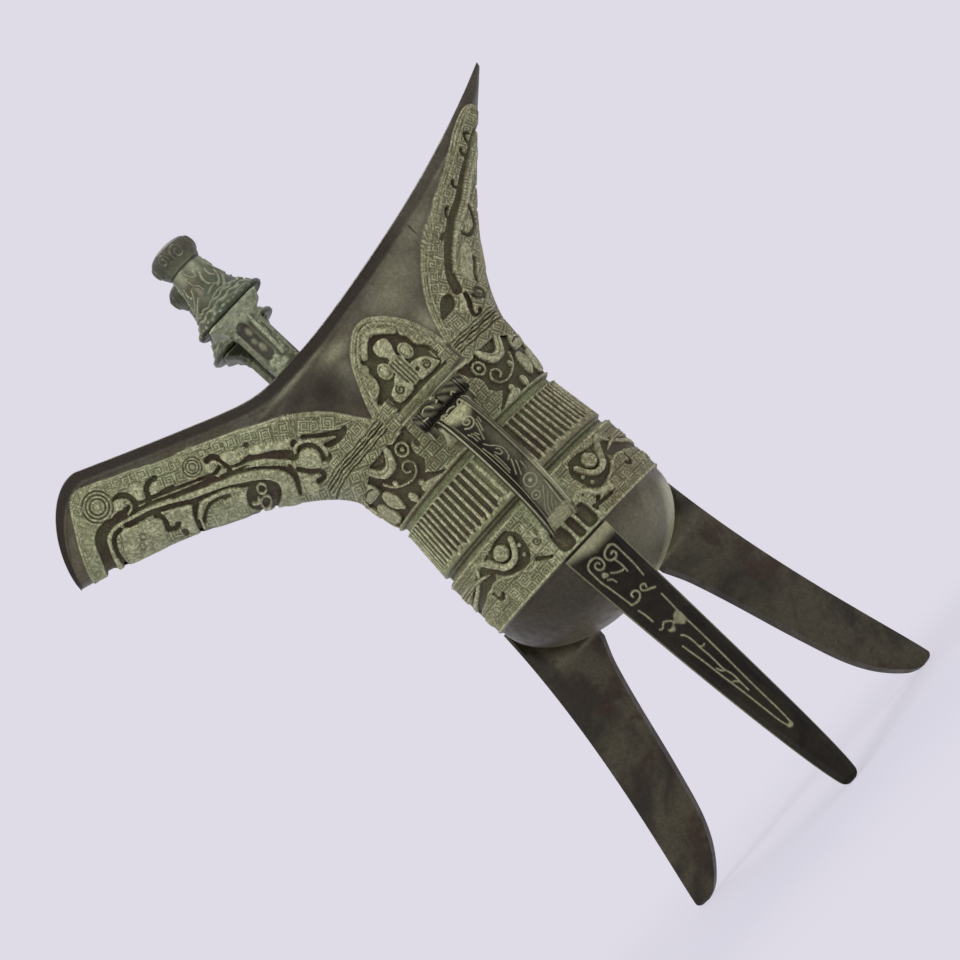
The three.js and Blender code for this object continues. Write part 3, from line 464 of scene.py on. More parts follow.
def castBronze(name, look):
    # patina by the cast form: ground, rubbed high places and painted highlights, dirt and painted shade in the
    # hollows, bare polished metal with painted highlights and shade
    material, tree = newMaterial(name)
    where = put(tree, "TexCoord").outputs["Object"]
    tone = put(tree, "Attribute", attribute_name="tone", attribute_type="GEOMETRY")
    parts = put(tree, "SeparateColor", {0: tone.outputs["Color"]}).outputs
    dark, pale, fine, bare = parts[0], parts[1], parts[2], tone.outputs["Alpha"]
    turn = put(tree, "Attribute", attribute_name="turn", attribute_type="GEOMETRY").outputs["Vector"]
    xyz = put(tree, "SeparateXYZ", {0: turn}).outputs
    clouds = noise(tree, where, look.get("clouds", grain["clouds"]), 5, 0.6)
    specks = noise(tree, where, grain["specks"], 4, 0.65)
    grains = noise(tree, where, grain["grains"], 3, 0.6)
    dust = noise(tree, where, grain["dust"], 2, 0.6)
    # the finest square spirals, from each point's place in its cell
    reach = maths(tree, "MAXIMUM", maths(tree, "ABSOLUTE", xyz[0]), maths(tree, "ABSOLUTE", xyz[1]))
    angle = maths(tree, "DIVIDE", maths(tree, "ARCTAN2", xyz[1], xyz[0]), 2 * math.pi)
    corner = maths(tree, "DIVIDE", maths(tree, "FLOOR", maths(tree, "MULTIPLY_ADD", angle, 4.0, c=0.5)), 4.0)
    phase = maths(tree, "SUBTRACT", maths(tree, "DIVIDE", reach, cup["leiwenPitch"]), corner)
    phase = maths(tree, "ADD", phase, spread(tree, grains, 0.25, 0.75, -0.22, 0.22))
    wave = maths(tree, "COSINE", times(tree, phase, 2 * math.pi))
    groove = times(tree, spread(tree, wave, 0.0, 0.9), fine)
    crest = times(tree, spread(tree, wave, -0.35, -0.95), fine)
    # worn scroll lines and chisel marks over the raised forms
    scrolls = noise(tree, where, grain["scrolls"], 1, 0.4, 0.4)
    scrolls = times(tree, scrolls, 2 * math.pi * look.get("scrolls", 8.5))
    scrolls = spread(tree, maths(tree, "COSINE", scrolls), 0.15, 0.95)
    scrolls = times(tree, scrolls, maths(tree, "SUBTRACT", 1.0, maths(tree, "ADD", fine, bare, True), True))
    # ground: green, browner in places, with stains
    ground = mixed(tree, spread(tree, clouds, 0.38, 0.62), look["groundA"], look["groundB"])
    brown = times(tree, xyz[2], spread(tree, specks, 0.3, 0.65, 0.35, 1.15), True)
    ground = mixed(tree, brown, ground, look.get("brown", look["stainColour"]))
    ground = mixed(tree, spread(tree, specks, 0.54, 0.72, 0, look.get("stain", 0.5)), ground, look["stainColour"])
    grit = spread(tree, grains, 0.34, 0.66, look.get("rubLow", 0.45), 1.2)
    # pale weight: rubbed places, and the painted highlights drawn on the patina
    rubbedAndLit = times(tree, maths(tree, "ADD", pale, times(tree, crest, 0.4)), grit, True)
    rubbedAndLit = times(tree, rubbedAndLit, 0.95, True)
    high = mixed(tree, times(tree, brown, 0.55), look["pale"], look.get("paleBrown", look["pale"]))
    ground = mixed(tree, rubbedAndLit, ground, high)
    lines = maths(tree, "MAXIMUM", groove, times(tree, scrolls, 0.5))
    ground = mixed(tree, times(tree, lines, 0.62), ground, look["line"])
    # dark weight: hollows, darkened partly as painted shade
    deep = mixed(tree, spread(tree, clouds, 0.42, 0.6), look["deep"], look.get("deepB", look["deep"]))
    ground = mixed(tree, spread(tree, dark, 0.05, 0.8), ground, deep)
    # bare metal, with painted highlights (pale), and painted shade and the dark lip (dark)
    patches = spread(tree, noise(tree, where, grain["bareClouds"], 4, 0.6, 0.6), 0.42, 0.57)
    plain = mixed(tree, patches, look["bareA"], look["bareB"])
    stains = spread(tree, noise(tree, where, grain["bareStains"], 5, 0.65, 0.9), 0.48, 0.6, 0, 0.85)
    plain = mixed(tree, stains, plain, look["bareC"])
    plain = mixed(tree, spread(tree, specks, 0.52, 0.78, 0, 0.5), plain, look["bareStain"])
    plain = mixed(tree, times(tree, pale, look.get("barePale", 0.7), True), plain, look["pale"])
    plain = mixed(tree, dark, plain, look["lip"])
    # the two together, broken up by the finest grain
    colour = mixed(tree, bare, ground, plain)
    colour = mixed(tree, 1.0, colour, spread(tree, grains, 0.3, 0.75, 0.84, 1.14), "MULTIPLY")
    colour = mixed(tree, 1.0, colour, spread(tree, dust, 0.3, 0.72, 0.86, 1.14), "MULTIPLY")
    rough = spread(tree, bare, 0, 1, look.get("roughGround", 0.62), look.get("roughBare", 0.42))
    rough = maths(tree, "ADD", rough, spread(tree, specks, 0.35, 0.7, -0.07, 0.1))
    metal = spread(tree, bare, 0, 1, look.get("metalGround", 0.1), look.get("metalBare", 0.35))
    lumps = maths(tree, "ADD", times(tree, grains, 0.35), times(tree, specks, 0.5))
    lumps = times(tree, maths(tree, "ADD", lumps, times(tree, dust, 0.2)), 0.6)
    form = maths(tree, "SUBTRACT", lumps, times(tree, maths(tree, "MAXIMUM", groove, scrolls), 0.8))
    bump = {"Height": form, "Distance": grain["bumpDepth"], "Strength": grain["bumpStrength"]}
    bump = put(tree, "Bump", bump).outputs[0]
    skin = put(tree, "BsdfPrincipled", {
        "Base Color": colour, "Roughness": rough, "Metallic": metal, "Normal": bump,
        "Specular IOR Level": look.get("gloss", 0.35),
    })
    put(tree, "OutputMaterial", {"Surface": skin.outputs[0]})
    return material


# ground, stains, rubbed places with painted highlights (pale), lines and hollows with painted shade (deep) of the
# ornament; bare...: the polished metal and its stains; lip: the dark of the bare metal, at the lip and for painted
# shade
patinaLook = {
    "groundA": paint(150, 160, 116), "groundB": paint(132, 137, 96), "stainColour": paint(104, 104, 74),
    "brown": paint(126, 108, 78), "pale": paint(208, 210, 166), "paleBrown": paint(186, 168, 128),
    "line": paint(74, 78, 50), "deep": paint(82, 80, 50), "deepB": paint(74, 62, 42),
    "bareA": paint(106, 99, 78), "bareB": paint(88, 81, 63), "bareC": paint(94, 92, 76),
    "bareStain": paint(72, 66, 50), "lip": paint(52, 46, 34),
}
darkLook = {
    "groundA": paint(52, 48, 36), "groundB": paint(38, 34, 25), "stainColour": paint(62, 62, 44), "stain": 0.4,
    "pale": paint(204, 202, 158), "line": paint(30, 27, 20), "deep": paint(22, 19, 13), "scrolls": 6.0,
    "bareA": paint(31, 27, 19), "bareB": paint(24, 20, 14), "bareC": paint(40, 36, 26),
    "bareStain": paint(46, 43, 32), "lip": paint(18, 15, 10), "barePale": 0.95, "roughGround": 0.5,
    "roughBare": 0.46, "metalGround": 0.1, "metalBare": 0.1, "rubLow": 0.7, "gloss": 0.16,
}
oliveLook = {
    "groundA": paint(84, 82, 62), "groundB": paint(64, 60, 46), "stainColour": paint(48, 44, 34),
    "pale": paint(168, 160, 126), "line": paint(40, 38, 30), "deep": paint(38, 34, 27),
    "bareA": paint(78, 73, 54), "bareB": paint(48, 43, 32), "bareC": paint(60, 45, 31),
    "bareStain": paint(42, 38, 27), "lip": paint(36, 31, 22), "clouds": 45, "roughBare": 0.42, "metalBare": 0.3,
}
postLook = {
    "groundA": paint(118, 122, 94), "groundB": paint(92, 94, 70), "stainColour": paint(70, 66, 50),
    "pale": paint(200, 208, 168), "line": paint(64, 62, 46), "deep": paint(74, 62, 54),
    "bareA": paint(106, 108, 82), "bareB": paint(82, 80, 60), "bareC": paint(92, 104, 80),
    "bareStain": paint(62, 54, 42), "lip": paint(62, 54, 48), "roughGround": 0.55, "rubLow": 0.6,
}
finishes = {
    "patinated_bronze": castBronze("patinaBronze", patinaLook),
    "dark_bronze": castBronze("darkBronze", darkLook),
    "olive_bronze": castBronze("oliveBronze", oliveLook),
    "post_bronze": castBronze("postBronze", postLook),
}
print("bronze finishes made")


# Relief of the spout's side, in the plane of X and Z
def drawSpoutBorder(s):
    edge = [
        (-94.3, 178.2), (-93, 181), (-91.5, 183.5), (-90, 186), (-88, 188.8), (-86.5, 191), (-85, 193.2),
        (-83.5, 194.9), (-82, 195.8), (-80, 196), (-77, 194.7), (-72, 192), (-68, 190), (-64, 187.6), (-60, 185.2),
        (-56, 183.3), (-52, 181.7), (-48, 179.3), (-44, 177.2), (-40, 175), (-36, 172.6), (-32, 170.2),
        (-28, 167.5), (-24, 164.2), (-21, 161.2), (-18.5, 157.5), (-16.5, 154), (-14.5, 151), (-13.5, 149.8),
    ]
    low = [(-12.5, 148.8), (-10, 148), (-10, 138), (-30, 130), (-60, 130), (-100, 160), (-96, 175)]
    block(s, edge + low, height=0.25, dome=0, sharp=True, fine=1, pale=0.1)
    block(s, edge[:11] + [(-78, 191), (-82, 188), (-83.5, 186), (-87, 181.5), (-90, 176), (-92, 174)], height=0.25,
          dome=0.1, fine=0, pale=0.35)
    border(s, edge)
    stroke(s, [(x + 0.6, z - 1.3) for x, z in edge[8:28]], 0.28, height=0.35, pale=0.4, soft=0.12)
    # whorl at the corner
    whorl = (-79.3, 189.6)
    dot(s, whorl, 5.2, height=0.2, dome=0.1, pale=0.15)
    for radius in (4.6, 3.6, 2.6, 1.6):
        ring(s, whorl, radius, 0.42, height=0.45, dome=0.1, pale=0.45)
    for radius in (4.1, 3.1, 2.1):
        ring(s, whorl, radius, 0.4, height=0.0, dome=0, pale=0, dark=0.45)
    dot(s, whorl, 0.7, height=0.4, pale=0.5)
    # square spirals that follow the border
    for centre, size, lean in (
        ((-83.5, 192.6), 1.5, 20), ((-73.4, 190.9), 1.5, -25), ((-69.2, 188.9), 1.6, -28),
        ((-65.2, 186.6), 1.4, -28), ((-61.4, 184.0), 1.6, -28), ((-58.2, 182.2), 1.5, -28),
        ((-50.6, 178.7), 1.5, -28), ((-46.6, 176.9), 1.6, -28), ((-43.2, 174.8), 1.7, -30),
        ((-39.4, 172.6), 1.6, -32), ((-35.6, 169.4), 1.9, -35), ((-31.2, 166.9), 1.9, -40),
        ((-27.3, 163.3), 2.1, -45), ((-22.5, 159.4), 2.1, -45), ((-18.5, 152.6), 2.0, 0), ((-23.7, 151.3), 1.7, 0),
        ((-28.5, 150.8), 1.6, 0), ((-14.6, 149.6), 1.2, 0),
    ):
        leiwen(s, centre, size, lean, 1 if centre[0] % 2 < 1 else -1)


def drawHairpin(s):
    # dark outer channel and the pale ridges inside it
    hairpin = [
        (-90.5, 172), (-89.5, 176), (-88.2, 178), (-86.9, 180.3), (-85.9, 182.3), (-84.6, 183.7), (-83, 184.3),
        (-81, 184.2), (-78.5, 183.6), (-76, 183), (-72, 181.9), (-68, 180.2), (-64, 178.1), (-60, 176.2),
        (-56, 174.2), (-52, 172.3), (-48, 170.2),
    ]
    cut(s, hairpin, (3.2, 1.7), soft=0.3)
    cut(s, hairpin[2:8], 2.9, soft=0.35)
    cut(s, [(-49, 170.8), (-46, 169.1), (-44.5, 168.6), (-42.8, 168.3), (-40, 166.4), (-37.6, 164), (-35.6, 161.8),
            (-34.6, 160.3)], (1.6, 2.5))
    inner = [(-64, 176.6), (-58, 173.8), (-52, 170.9), (-47.6, 168.3), (-44, 165.7), (-41.3, 163), (-39, 160.6),
             (-38, 158.4), (-38.3, 156.4), (-39.8, 154)]
    cut(s, inner, (1.0, 1.5))
    stroke(s, [(-72.6, 182.1), (-70, 181), (-67.5, 179.9), (-64, 178.1), (-60, 176.1), (-56, 174.2), (-52, 172.1),
               (-48, 169.9), (-44, 167.8), (-41, 165.7), (-39, 163.3), (-37.3, 160.7), (-36.7, 159), (-37, 157),
               (-38, 155.2), (-39.8, 153)], (0.45, 0.7), height=-0.1, pale=0.45)
    stroke(s, [(-87.3, 175.2), (-86.4, 177.6), (-85.3, 179.5), (-84.2, 181), (-82.8, 182.1), (-81.3, 182.6),
               (-79.8, 182.6), (-78.2, 182.2), (-76.3, 181.6), (-74, 180.7), (-71, 179.4), (-68, 178), (-65, 176.4),
               (-62, 174.9), (-60, 173.9)], 0.95, height=0.25, pale=0.75)
    cut(s, [(-85.6, 174.5), (-84.9, 177.4), (-84, 179.3), (-82.8, 180.8), (-81.3, 181.5), (-79.6, 181.4)], 1.15)
    cut(s, [(-77.6, 180.9), (-75.5, 180), (-73, 179.2), (-70, 177.9), (-66, 175.7), (-62, 172.9), (-59.5, 171.6),
            (-56, 170), (-53, 168.4), (-50, 166.2), (-47.6, 164.2)], (1.5, 1.2))
    stroke(s, [(-84.4, 176.6), (-83.9, 178), (-83.2, 179.1)], 0.5, height=-0.2, pale=0.4)
    stroke(s, [(-60.5, 173.7), (-56, 171.4), (-52, 169.4), (-48, 167), (-45, 164.8), (-42.6, 162.2), (-41, 159.9),
               (-40.8, 157.8), (-41.7, 155.6), (-43.6, 153.8)], (1.2, 4.2), height=0.35, dome=0.25, pale=0.5,
           soft=0.3)
    stroke(s, [(-46, 157), (-43.5, 156.9), (-42, 156)], 1.6, height=0.4, pale=0.5)
    cut(s, [(-47.8, 164.4), (-45.6, 162.7), (-43.9, 161), (-43.2, 159.3), (-44, 157.8), (-45.8, 157.2)], 1.5)


def drawHooks(s):
    # comma hooks and rounded blocks between border and hairpin
    cut(s, [(-74.7, 187.6), (-73.2, 187.3), (-72.1, 186.1), (-71.6, 184.6), (-72, 183.1), (-72.9, 181.9)], 1.5)
    cut(s, [(-78, 184.6), (-76, 184.1), (-73.6, 183.5)], 1.0)
    dot(s, (-75.1, 185.9), 1.35, 1.15, height=0.25, pale=0.8)
    stroke(s, [(-75.3, 182.4), (-73.7, 182.8), (-72.9, 183.4)], 0.7, height=0.1, pale=0.7)
    block(s, [(-71, 185.6), (-70.7, 183), (-69.5, 181.9), (-68.4, 183.1), (-67.2, 184.6), (-67.6, 186.5),
              (-70, 187)], height=0.25, pale=0.75)
    cut(s, [(-63.6, 183.6), (-65.3, 184), (-67.2, 183.4), (-68.1, 182), (-68.8, 181), (-69.6, 180.6)], 1.4)
    dot(s, (-65.3, 181.6), 1.25, height=0.25, pale=0.7)
    cut(s, [(-67.8, 180.8), (-66.6, 180.1), (-64.5, 179.7), (-62, 178.6)], 0.9)
    for centre in ((-72.6, 189.6), (-70.2, 188.2), (-67.6, 187.9), (-66, 186.6)):
        ring(s, centre, 0.65, 0.35, height=0.45, pale=0.4)
    whorl = (-54.7, 178.2)
    dot(s, whorl, 3.3, height=0.2, dome=0.1, pale=0.2)
    for radius in (2.9, 2.1, 1.3):
        ring(s, whorl, radius, 0.36, height=0.4, pale=0.4)
        ring(s, whorl, radius - 0.4, 0.34, height=0, dome=0, pale=0, dark=0.4)
    cut(s, [(-51, 176.5), (-49.6, 176.2), (-48.7, 175), (-48.2, 173), (-48.4, 171.4), (-49, 170.2)], 1.5)
    cut(s, [(-56, 174.9), (-53.4, 173), (-51.5, 172.7), (-50, 173)], 0.9)
    dot(s, (-51.9, 174.6), 1.3, height=0.3, pale=0.6)
    stroke(s, [(-51.8, 171.6), (-50.3, 171.9), (-49.3, 171.2)], 0.8, height=0.1, pale=0.6)
    block(s, [(-48, 174.6), (-47.9, 172), (-46.9, 170.5), (-44.6, 170.3), (-44, 172), (-45.4, 174)], height=0.3,
          pale=0.75)
    ring(s, (-43.4, 171.2), 0.9, 0.5, height=0.45, pale=0.6)
    pit(s, (-41, 171.4), 0.7, 0.3, 0.8)


def drawHairpinBlocks(s):
    # blocks inside the hairpin, from its head to its open end
    block(s, [(-84, 174), (-83.6, 176), (-82, 178.3), (-80.4, 180.2), (-79, 181), (-77.8, 180.4), (-76.8, 179.2),
              (-74, 178.1), (-71.7, 177), (-70.7, 175.9), (-70.9, 174.2), (-71.8, 172.9), (-74, 171), (-80, 172)],
          height=0.3, dome=0.25, pale=0.6)
    for centre, size in (((-81.2, 176.6), 1.2), ((-73.6, 176), 1.1)):
        dot(s, centre, size, height=0.45, dome=0.3, pale=1)
    for centre in ((-76.8, 176.3), (-78.6, 175)):
        ring(s, centre, 0.75, 0.4, height=0.3, dome=0, pale=0.2, dark=0.2)
    cut(s, [(-70.6, 177), (-69.8, 176.2), (-69.7, 174.9), (-70.2, 173.7), (-70.9, 172.7), (-69.9, 171.9),
            (-68.9, 171.4), (-67.6, 171.9)], 1.25)
    block(s, [(-69, 175.2), (-66.5, 174.9), (-64, 173.6), (-62, 172.1), (-62.6, 170.7), (-64.6, 168.9),
              (-66, 167.6), (-68, 169.6), (-67.2, 171.6), (-68.8, 173)], height=0.3, pale=0.5)
    dot(s, (-66.2, 168.9), 1.1, height=0.45, pale=1)
    cut(s, [(-61, 171.4), (-62.2, 170.8), (-63.2, 169.8), (-64, 168.6), (-65, 167)], (1.5, 1.1))
    pit(s, (-68.2, 169.3), 0.8, 0.4, 0.9)
    stroke(s, [(-63.2, 168.8), (-61.6, 169.7), (-59.4, 170.3), (-57, 169.5), (-54, 168.2), (-51.8, 166.8),
               (-50.3, 165.2)], 0.9, height=0.15, pale=0.6)
    cut(s, [(-62.8, 167.4), (-61, 168.3), (-58.6, 168.8), (-56, 168), (-53.6, 166.6)], 0.8, depth=0.6)
    block(s, [(-62.2, 166), (-60.6, 167.4), (-58.4, 167.6), (-56, 166.8), (-53.4, 165.9), (-51, 165.2),
              (-49.4, 163.6), (-49.6, 162.2), (-51.6, 161.8), (-52.6, 160.8), (-55, 160), (-60, 162)], height=0.3,
          pale=0.35, fine=0.6)
    curl(s, (-57.6, 165.4), 1.5, 1.3, 40, 0.5, height=0.5, pale=0.6)
    dot(s, (-51, 163.6), 1.3, height=0.45, pale=1)
    pit(s, (-54.4, 166.9), 0.8, 0.5, stretch=0.6)
    hollow(s, [(-50.6, 163), (-48.6, 164), (-45.2, 163), (-43.8, 160), (-44.6, 157.4), (-47, 156.6), (-50.4, 159),
               (-51.8, 161)], 0.7, dark=0.95)
    ring(s, (-46.3, 161.5), 1.15, 0.6, height=0.25, pale=0.7)
    ring(s, (-47.9, 158.9), 1.5, 0.55, 0.75, height=0.2, pale=0.55)
    stroke(s, [(-50.6, 161), (-49.6, 160.2), (-48.6, 160.6)], 0.8, height=0.2, pale=0.8)


def drawSpoutRoot(s):
    # between the hairpin's bend and the bowl
    block(s, [(-42, 169.6), (-40, 169.9), (-37.2, 168.1), (-34.4, 165.6), (-32, 163.5), (-32.6, 162.6),
              (-34.8, 163.4), (-38, 165.8), (-41.2, 168)], height=0.4, pale=0.85)
    pit(s, (-32.3, 162.3), 0.95, 0.5)
    block(s, [(-35.4, 156.4), (-34.2, 158.4), (-32.6, 159.2), (-30.8, 158.8), (-29.6, 157.4), (-30, 155.6),
              (-31.4, 153.6), (-33.2, 154.4)], height=0.3, pale=0.75)
    cut(s, [(-33.4, 160.4), (-31.6, 160.2), (-30.1, 159.1), (-29.2, 157.3), (-29.2, 155.6), (-29.9, 154)], 1.2)
    pit(s, (-28.9, 153.5), 1.2, 0.6)
    stroke(s, [(-33.8, 160.6), (-32.2, 161.5), (-30, 160.9), (-28.4, 159.2), (-27.7, 157.2), (-28, 155),
               (-28.6, 153.9)], 0.9, height=0.25, pale=0.6)
    cut(s, [(-29.6, 161.6), (-28, 159.9), (-25.4, 157.7), (-22.6, 155.6)], (1.2, 1.9))
    hollow(s, [(-27.2, 156.4), (-24, 155.4), (-20.6, 156), (-20, 155), (-21.6, 154), (-24, 153.9), (-26.6, 154.6)],
           0.7)
    stroke(s, [(-29.2, 160.2), (-26.4, 157.7), (-23.8, 155.6)], 0.6, height=-0.1, pale=0.5)
    block(s, [(-38.2, 152.2), (-37.6, 154.6), (-36.4, 155.2), (-35, 154), (-34.6, 152.4), (-35.6, 150.8),
              (-37.4, 150.6)], height=0.4, pale=0.95)
    cut(s, [(-36.2, 157.3), (-35.2, 155.9), (-33.9, 154.1), (-32.8, 153), (-32.4, 151.9), (-33.4, 151.3),
            (-34.6, 151.8)], 1.35)
    cut(s, [(-37.2, 159.6), (-37.4, 157.6), (-38.2, 156), (-39.4, 154.6)], 0.8, depth=0.6)
    drawFootLines(s, -34, -9)


def panelGround(s):
    # cells of the square spirals, leaning with each panel
    leaning = {key: s[key].copy() for key in ("turnA", "turnB")}
    for angle, part in ((-28, s["a"] < -13.2), (0, np.abs(s["a"]) < 13), (32, s["a"] > 13)):
        leiwenGround(s, angle, (0.3, 0.4))
        for key in leaning:
            leaning[key] = np.where(part, s[key], leaning[key])
    for key, value in leaning.items():
        s[key] = value


def drawPanels(s):
    s["bare"][s["b"] > 100] = 1
    s["brown"] = 0.2 + 0.25 * smooth(-40, -20, s["a"]) + 0.2 * smooth(0, 20, s["a"])
    for draw in (drawSpoutBorder, drawHairpin, drawHooks, drawHairpinBlocks, drawSpoutRoot, drawTailPanel,
                 drawLeafPanel):
        draw(s)


def drawFootLines(s, first, last):
    # level lines between the band of the neck and the panels over it
    for z, width, deep in (
        (150.1, 0.35, 0.3), (149.2, 0.35, 0.6), (148.4, 0.4, 0.8), (147.5, 0.3, 0.4), (146.7, 0.35, 0.5),
    ):
        wavy = [(x, z + 0.12 * math.sin(1.3 * x + 5 * z)) for x in np.linspace(first, last, 14)]
        cut(s, wavy, width, depth=deep * 0.5, dark=deep, soft=0.15)
        stroke(s, [(x, y + 0.42) for x, y in wavy], 0.28, height=0.3, dome=0.05, pale=0.75, soft=0.12)


def drawLeafPanel(s):
    outline = [
        (-13.3, 151), (-12.5, 153.5), (-11, 157), (-9.5, 160), (-8.5, 162), (-7, 164.5), (-5, 166.7), (-3, 168.3),
        (-1, 169.6), (1, 170.1), (3, 169.8), (5, 168.5), (7, 166.6), (9, 164), (10.5, 161.5), (11.5, 159),
        (12.2, 156.5), (12.7, 154), (13, 151),
    ]
    block(s, outline + [(13, 146), (0, 144), (-13, 146)], height=0.25, dome=0, sharp=True, fine=1, pale=0.1)
    border(s, outline)
    stroke(s, [(x * 0.87 + 0.1, 151 + (z - 151) * 0.93) for x, z in outline], 0.45, height=0.4, pale=0.6)
    # dark field with the pale head, lobes and arms on it
    cut(s, [(0.4, 164.9), (-3.5, 162.8), (-5.3, 161.6), (-5.3, 159), (-5.6, 156.6), (-6.6, 154.6), (-8.3, 153.4),
            (-9.6, 152.6)], 1.6)
    cut(s, [(1.6, 164.9), (4.5, 163), (6.4, 161.6), (6.7, 159), (7, 156.8), (7.6, 155), (9, 153.6), (9.6, 151)],
        1.6)
    hollow(s, [(-5.5, 163.2), (0.6, 165.8), (6.4, 163), (7.2, 157), (8.8, 153.6), (9.2, 148.6), (2, 147.4),
               (-7, 147.6), (-8.6, 152.4), (-5.9, 156)], 0.75)
    stroke(s, [(0.3, 167), (-1.8, 165.5), (-4.1, 163.3)], 1.7, height=0.3, pale=0.55)
    stroke(s, [(1.4, 167), (3.8, 165.2), (6.2, 162.8)], 1.7, height=0.3, pale=0.55)
    block(s, [(-0.9, 163.4), (1.1, 164), (3.2, 163.2), (3.3, 161), (2.5, 159), (2, 156), (0.4, 156), (-0.2, 159),
              (-1.4, 161)], height=0.35, pale=0.95)
    for centre in ((-3, 157), (4.6, 157)):
        dot(s, centre, 1.9, 1.3, height=0.2, pale=0.6)
        ring(s, centre, 1.3, 0.4, 1.3, height=0.1, dome=0, dark=0.35, pale=0.2)
    block(s, [(-1.6, 157.6), (2.4, 157.6), (2.9, 153), (2.6, 149.4), (-1.4, 149.4), (-1.6, 153)], height=0.15,
          dome=0.1, pale=0.4)
    for x in (-1.0, 0.0, 1.0, 2.0):
        cut(s, [(x, 157.2), (x, 149.6)], 0.4, depth=0.1, straight=True, dark=0.6, soft=0.15)
    block(s, [(-6.4, 151.6), (-4, 153), (-1.9, 154.6), (-1.3, 152), (-1, 148.5), (-6.1, 148.5)], height=0.2,
          pale=0.4)
    block(s, [(3, 153.9), (7, 152.6), (8.4, 150), (8.5, 148.5), (2.2, 148.5), (2.4, 151)], height=0.2, pale=0.4)
    curl(s, (-3.6, 150.9), 1.3, 1.3, 90, 0.45, height=0.05, dome=0, dark=0.8, pale=0)
    curl(s, (5.6, 150.6), 1.3, 1.3, 90, 0.45, way=-1, height=0.05, dome=0, dark=0.7, pale=0)
    pit(s, (3.2, 151.4), 0.5, 0.3, 0.8)
    for centre, radius in (((-6.6, 161.2), 1.4), ((-7.9, 157.3), 1.7), ((8.1, 161.2), 1.5), ((9.4, 157), 1.7)):
        dot(s, centre, radius, height=0.2, dome=0.2, pale=0.35)
        ring(s, centre, radius * 0.55, 0.4, height=0.2, dome=0, dark=0.35, pale=0.1)
    leiwen(s, (-9.4, 150.2), 1.7)
    leiwen(s, (10.6, 151), 1.7)
    cut(s, [(-8, 147.5), (9.6, 147.5)], 0.7, depth=0.4, straight=True, dark=0.9)
    block(s, [(-8, 144.8), (-8, 147.1), (8.8, 147.1), (8.8, 144.8)], height=0.3, dome=0.1, sharp=True, pale=0)


def drawTailPanel(s):
    edge = [
        (13.8, 151), (15, 154.5), (16.3, 158), (18, 161.5), (20, 164.5), (22.5, 167.5), (25, 170.2), (28, 172.8),
        (30, 174.3), (32, 175.7), (37, 178), (40, 180), (43, 181.5), (46, 183), (50, 185.2), (54, 187.5), (58, 190),
        (62, 192), (65, 193), (67, 193), (68.2, 191.8),
    ]
    block(s, edge + [(70, 188), (60, 175), (40, 140), (24, 135), (14, 144), (13.6, 148)], height=0.25, dome=0,
          sharp=True, fine=1, pale=0.1)
    border(s, edge)
    stroke(s, [(x + 0.8, z - 1.0) for x, z in edge[:19]], 0.45, height=0.4, pale=0.6)
    for centre, lean in (((26.5, 168.3), 42), ((24.3, 165.6), 46), ((22.3, 163.2), 50), ((20.6, 158.4), 60),
                         ((30.2, 170.9), 38), ((44, 179.6), 30), ((48.4, 182.4), 30), ((35, 174.4), 35)):
        leiwen(s, centre, 1.5, lean)
    leiwen(s, (19.3, 152.6), 2.4)
    hollow(s, [(17.4, 156), (19.4, 158.6), (21.6, 160.2), (23.6, 160), (24.1, 158.4), (22.6, 156.4), (20, 156)],
           0.6, dark=0.9)
    block(s, [(22.4, 154.4), (24.5, 156.4), (26.4, 158.2), (26.2, 156), (24.7, 154.2), (24, 152.4)], height=0.35,
          pale=1)
    cut(s, [(27, 156.6), (26.4, 154.8), (25.2, 153), (24.7, 151.4), (25.8, 150.4), (26.9, 151.4)], (1.4, 1.0))
    # main channel that runs up to the tip, and its hooks
    channel = [
        (26.5, 159.2), (28, 162.8), (31, 166.3), (33.5, 168.8), (36, 171), (38, 172.5), (40.2, 174), (42.8, 175.3),
        (45.4, 176.6), (48.2, 178.5), (51, 180.4), (54, 182.2), (56.6, 183.7), (59, 185.1), (61, 186.4),
        (63.4, 187.6), (66, 188.4),
    ]
    cut(s, channel, (2.8, 0.6), soft=0.3, dark=0.6)
    cut(s, [(33.7, 171.6), (35, 172.1), (36.2, 171.6), (36.6, 170.6)], 0.9)
    cut(s, [(39.2, 173.6), (39.5, 175.2), (40.4, 176.4), (41.4, 176.8)], 0.9)
    cut(s, [(56.6, 183.6), (55.7, 185), (56.4, 186)], 0.9)
    cut(s, [(59.1, 185.4), (59.6, 187.4), (60.5, 188.5), (61.4, 188)], 0.9)
    cut(s, [(48, 178.6), (47.2, 180.2), (48, 181.2)], 0.9)
    stroke(s, [(29.6, 163), (32.4, 166), (35, 168.3), (38, 170.4), (40.6, 171.8), (43.6, 173.2), (46.6, 174.9),
               (50, 177.3), (53.6, 179.8), (57, 181.8), (61, 184.2), (65, 186.4)], 0.7, height=0.35, pale=0.8)
    block(s, [(29.6, 160.6), (32.6, 164), (36.4, 167.2), (38.4, 167.4), (37, 164), (34.6, 161), (32, 159)],
          height=0.3, pale=0.6)
    cut(s, [(32.8, 158), (34, 160), (35.6, 161.4), (37, 163.2)], 1.1)
    curl(s, (30.4, 155.4), 2.1, 1.2, 180, 1.0, height=-0.5, dome=0, dark=0.9, pale=0)
    cut(s, [(39.6, 169.6), (40.3, 168.4), (42.2, 168.4), (44.5, 170), (46, 172.4), (46.6, 174)], 1.0)
    dot(s, (42.6, 170.6), 1.2, height=0.35, pale=0.8)
    block(s, [(37, 160), (39, 163.4), (42.4, 166), (45.6, 167.6), (46, 164), (42, 160)], height=0.3, pale=0.4)
    cut(s, [(48.6, 172.6), (50.6, 173.4), (52.4, 175.4), (53.2, 177.4)], 0.9)
    drawFootLines(s, 14.4, 30)


def onSide(side):
    # shapes drawn for the tail's side are put on either side
    return lambda points: [(side * u, z) for u, z in points]


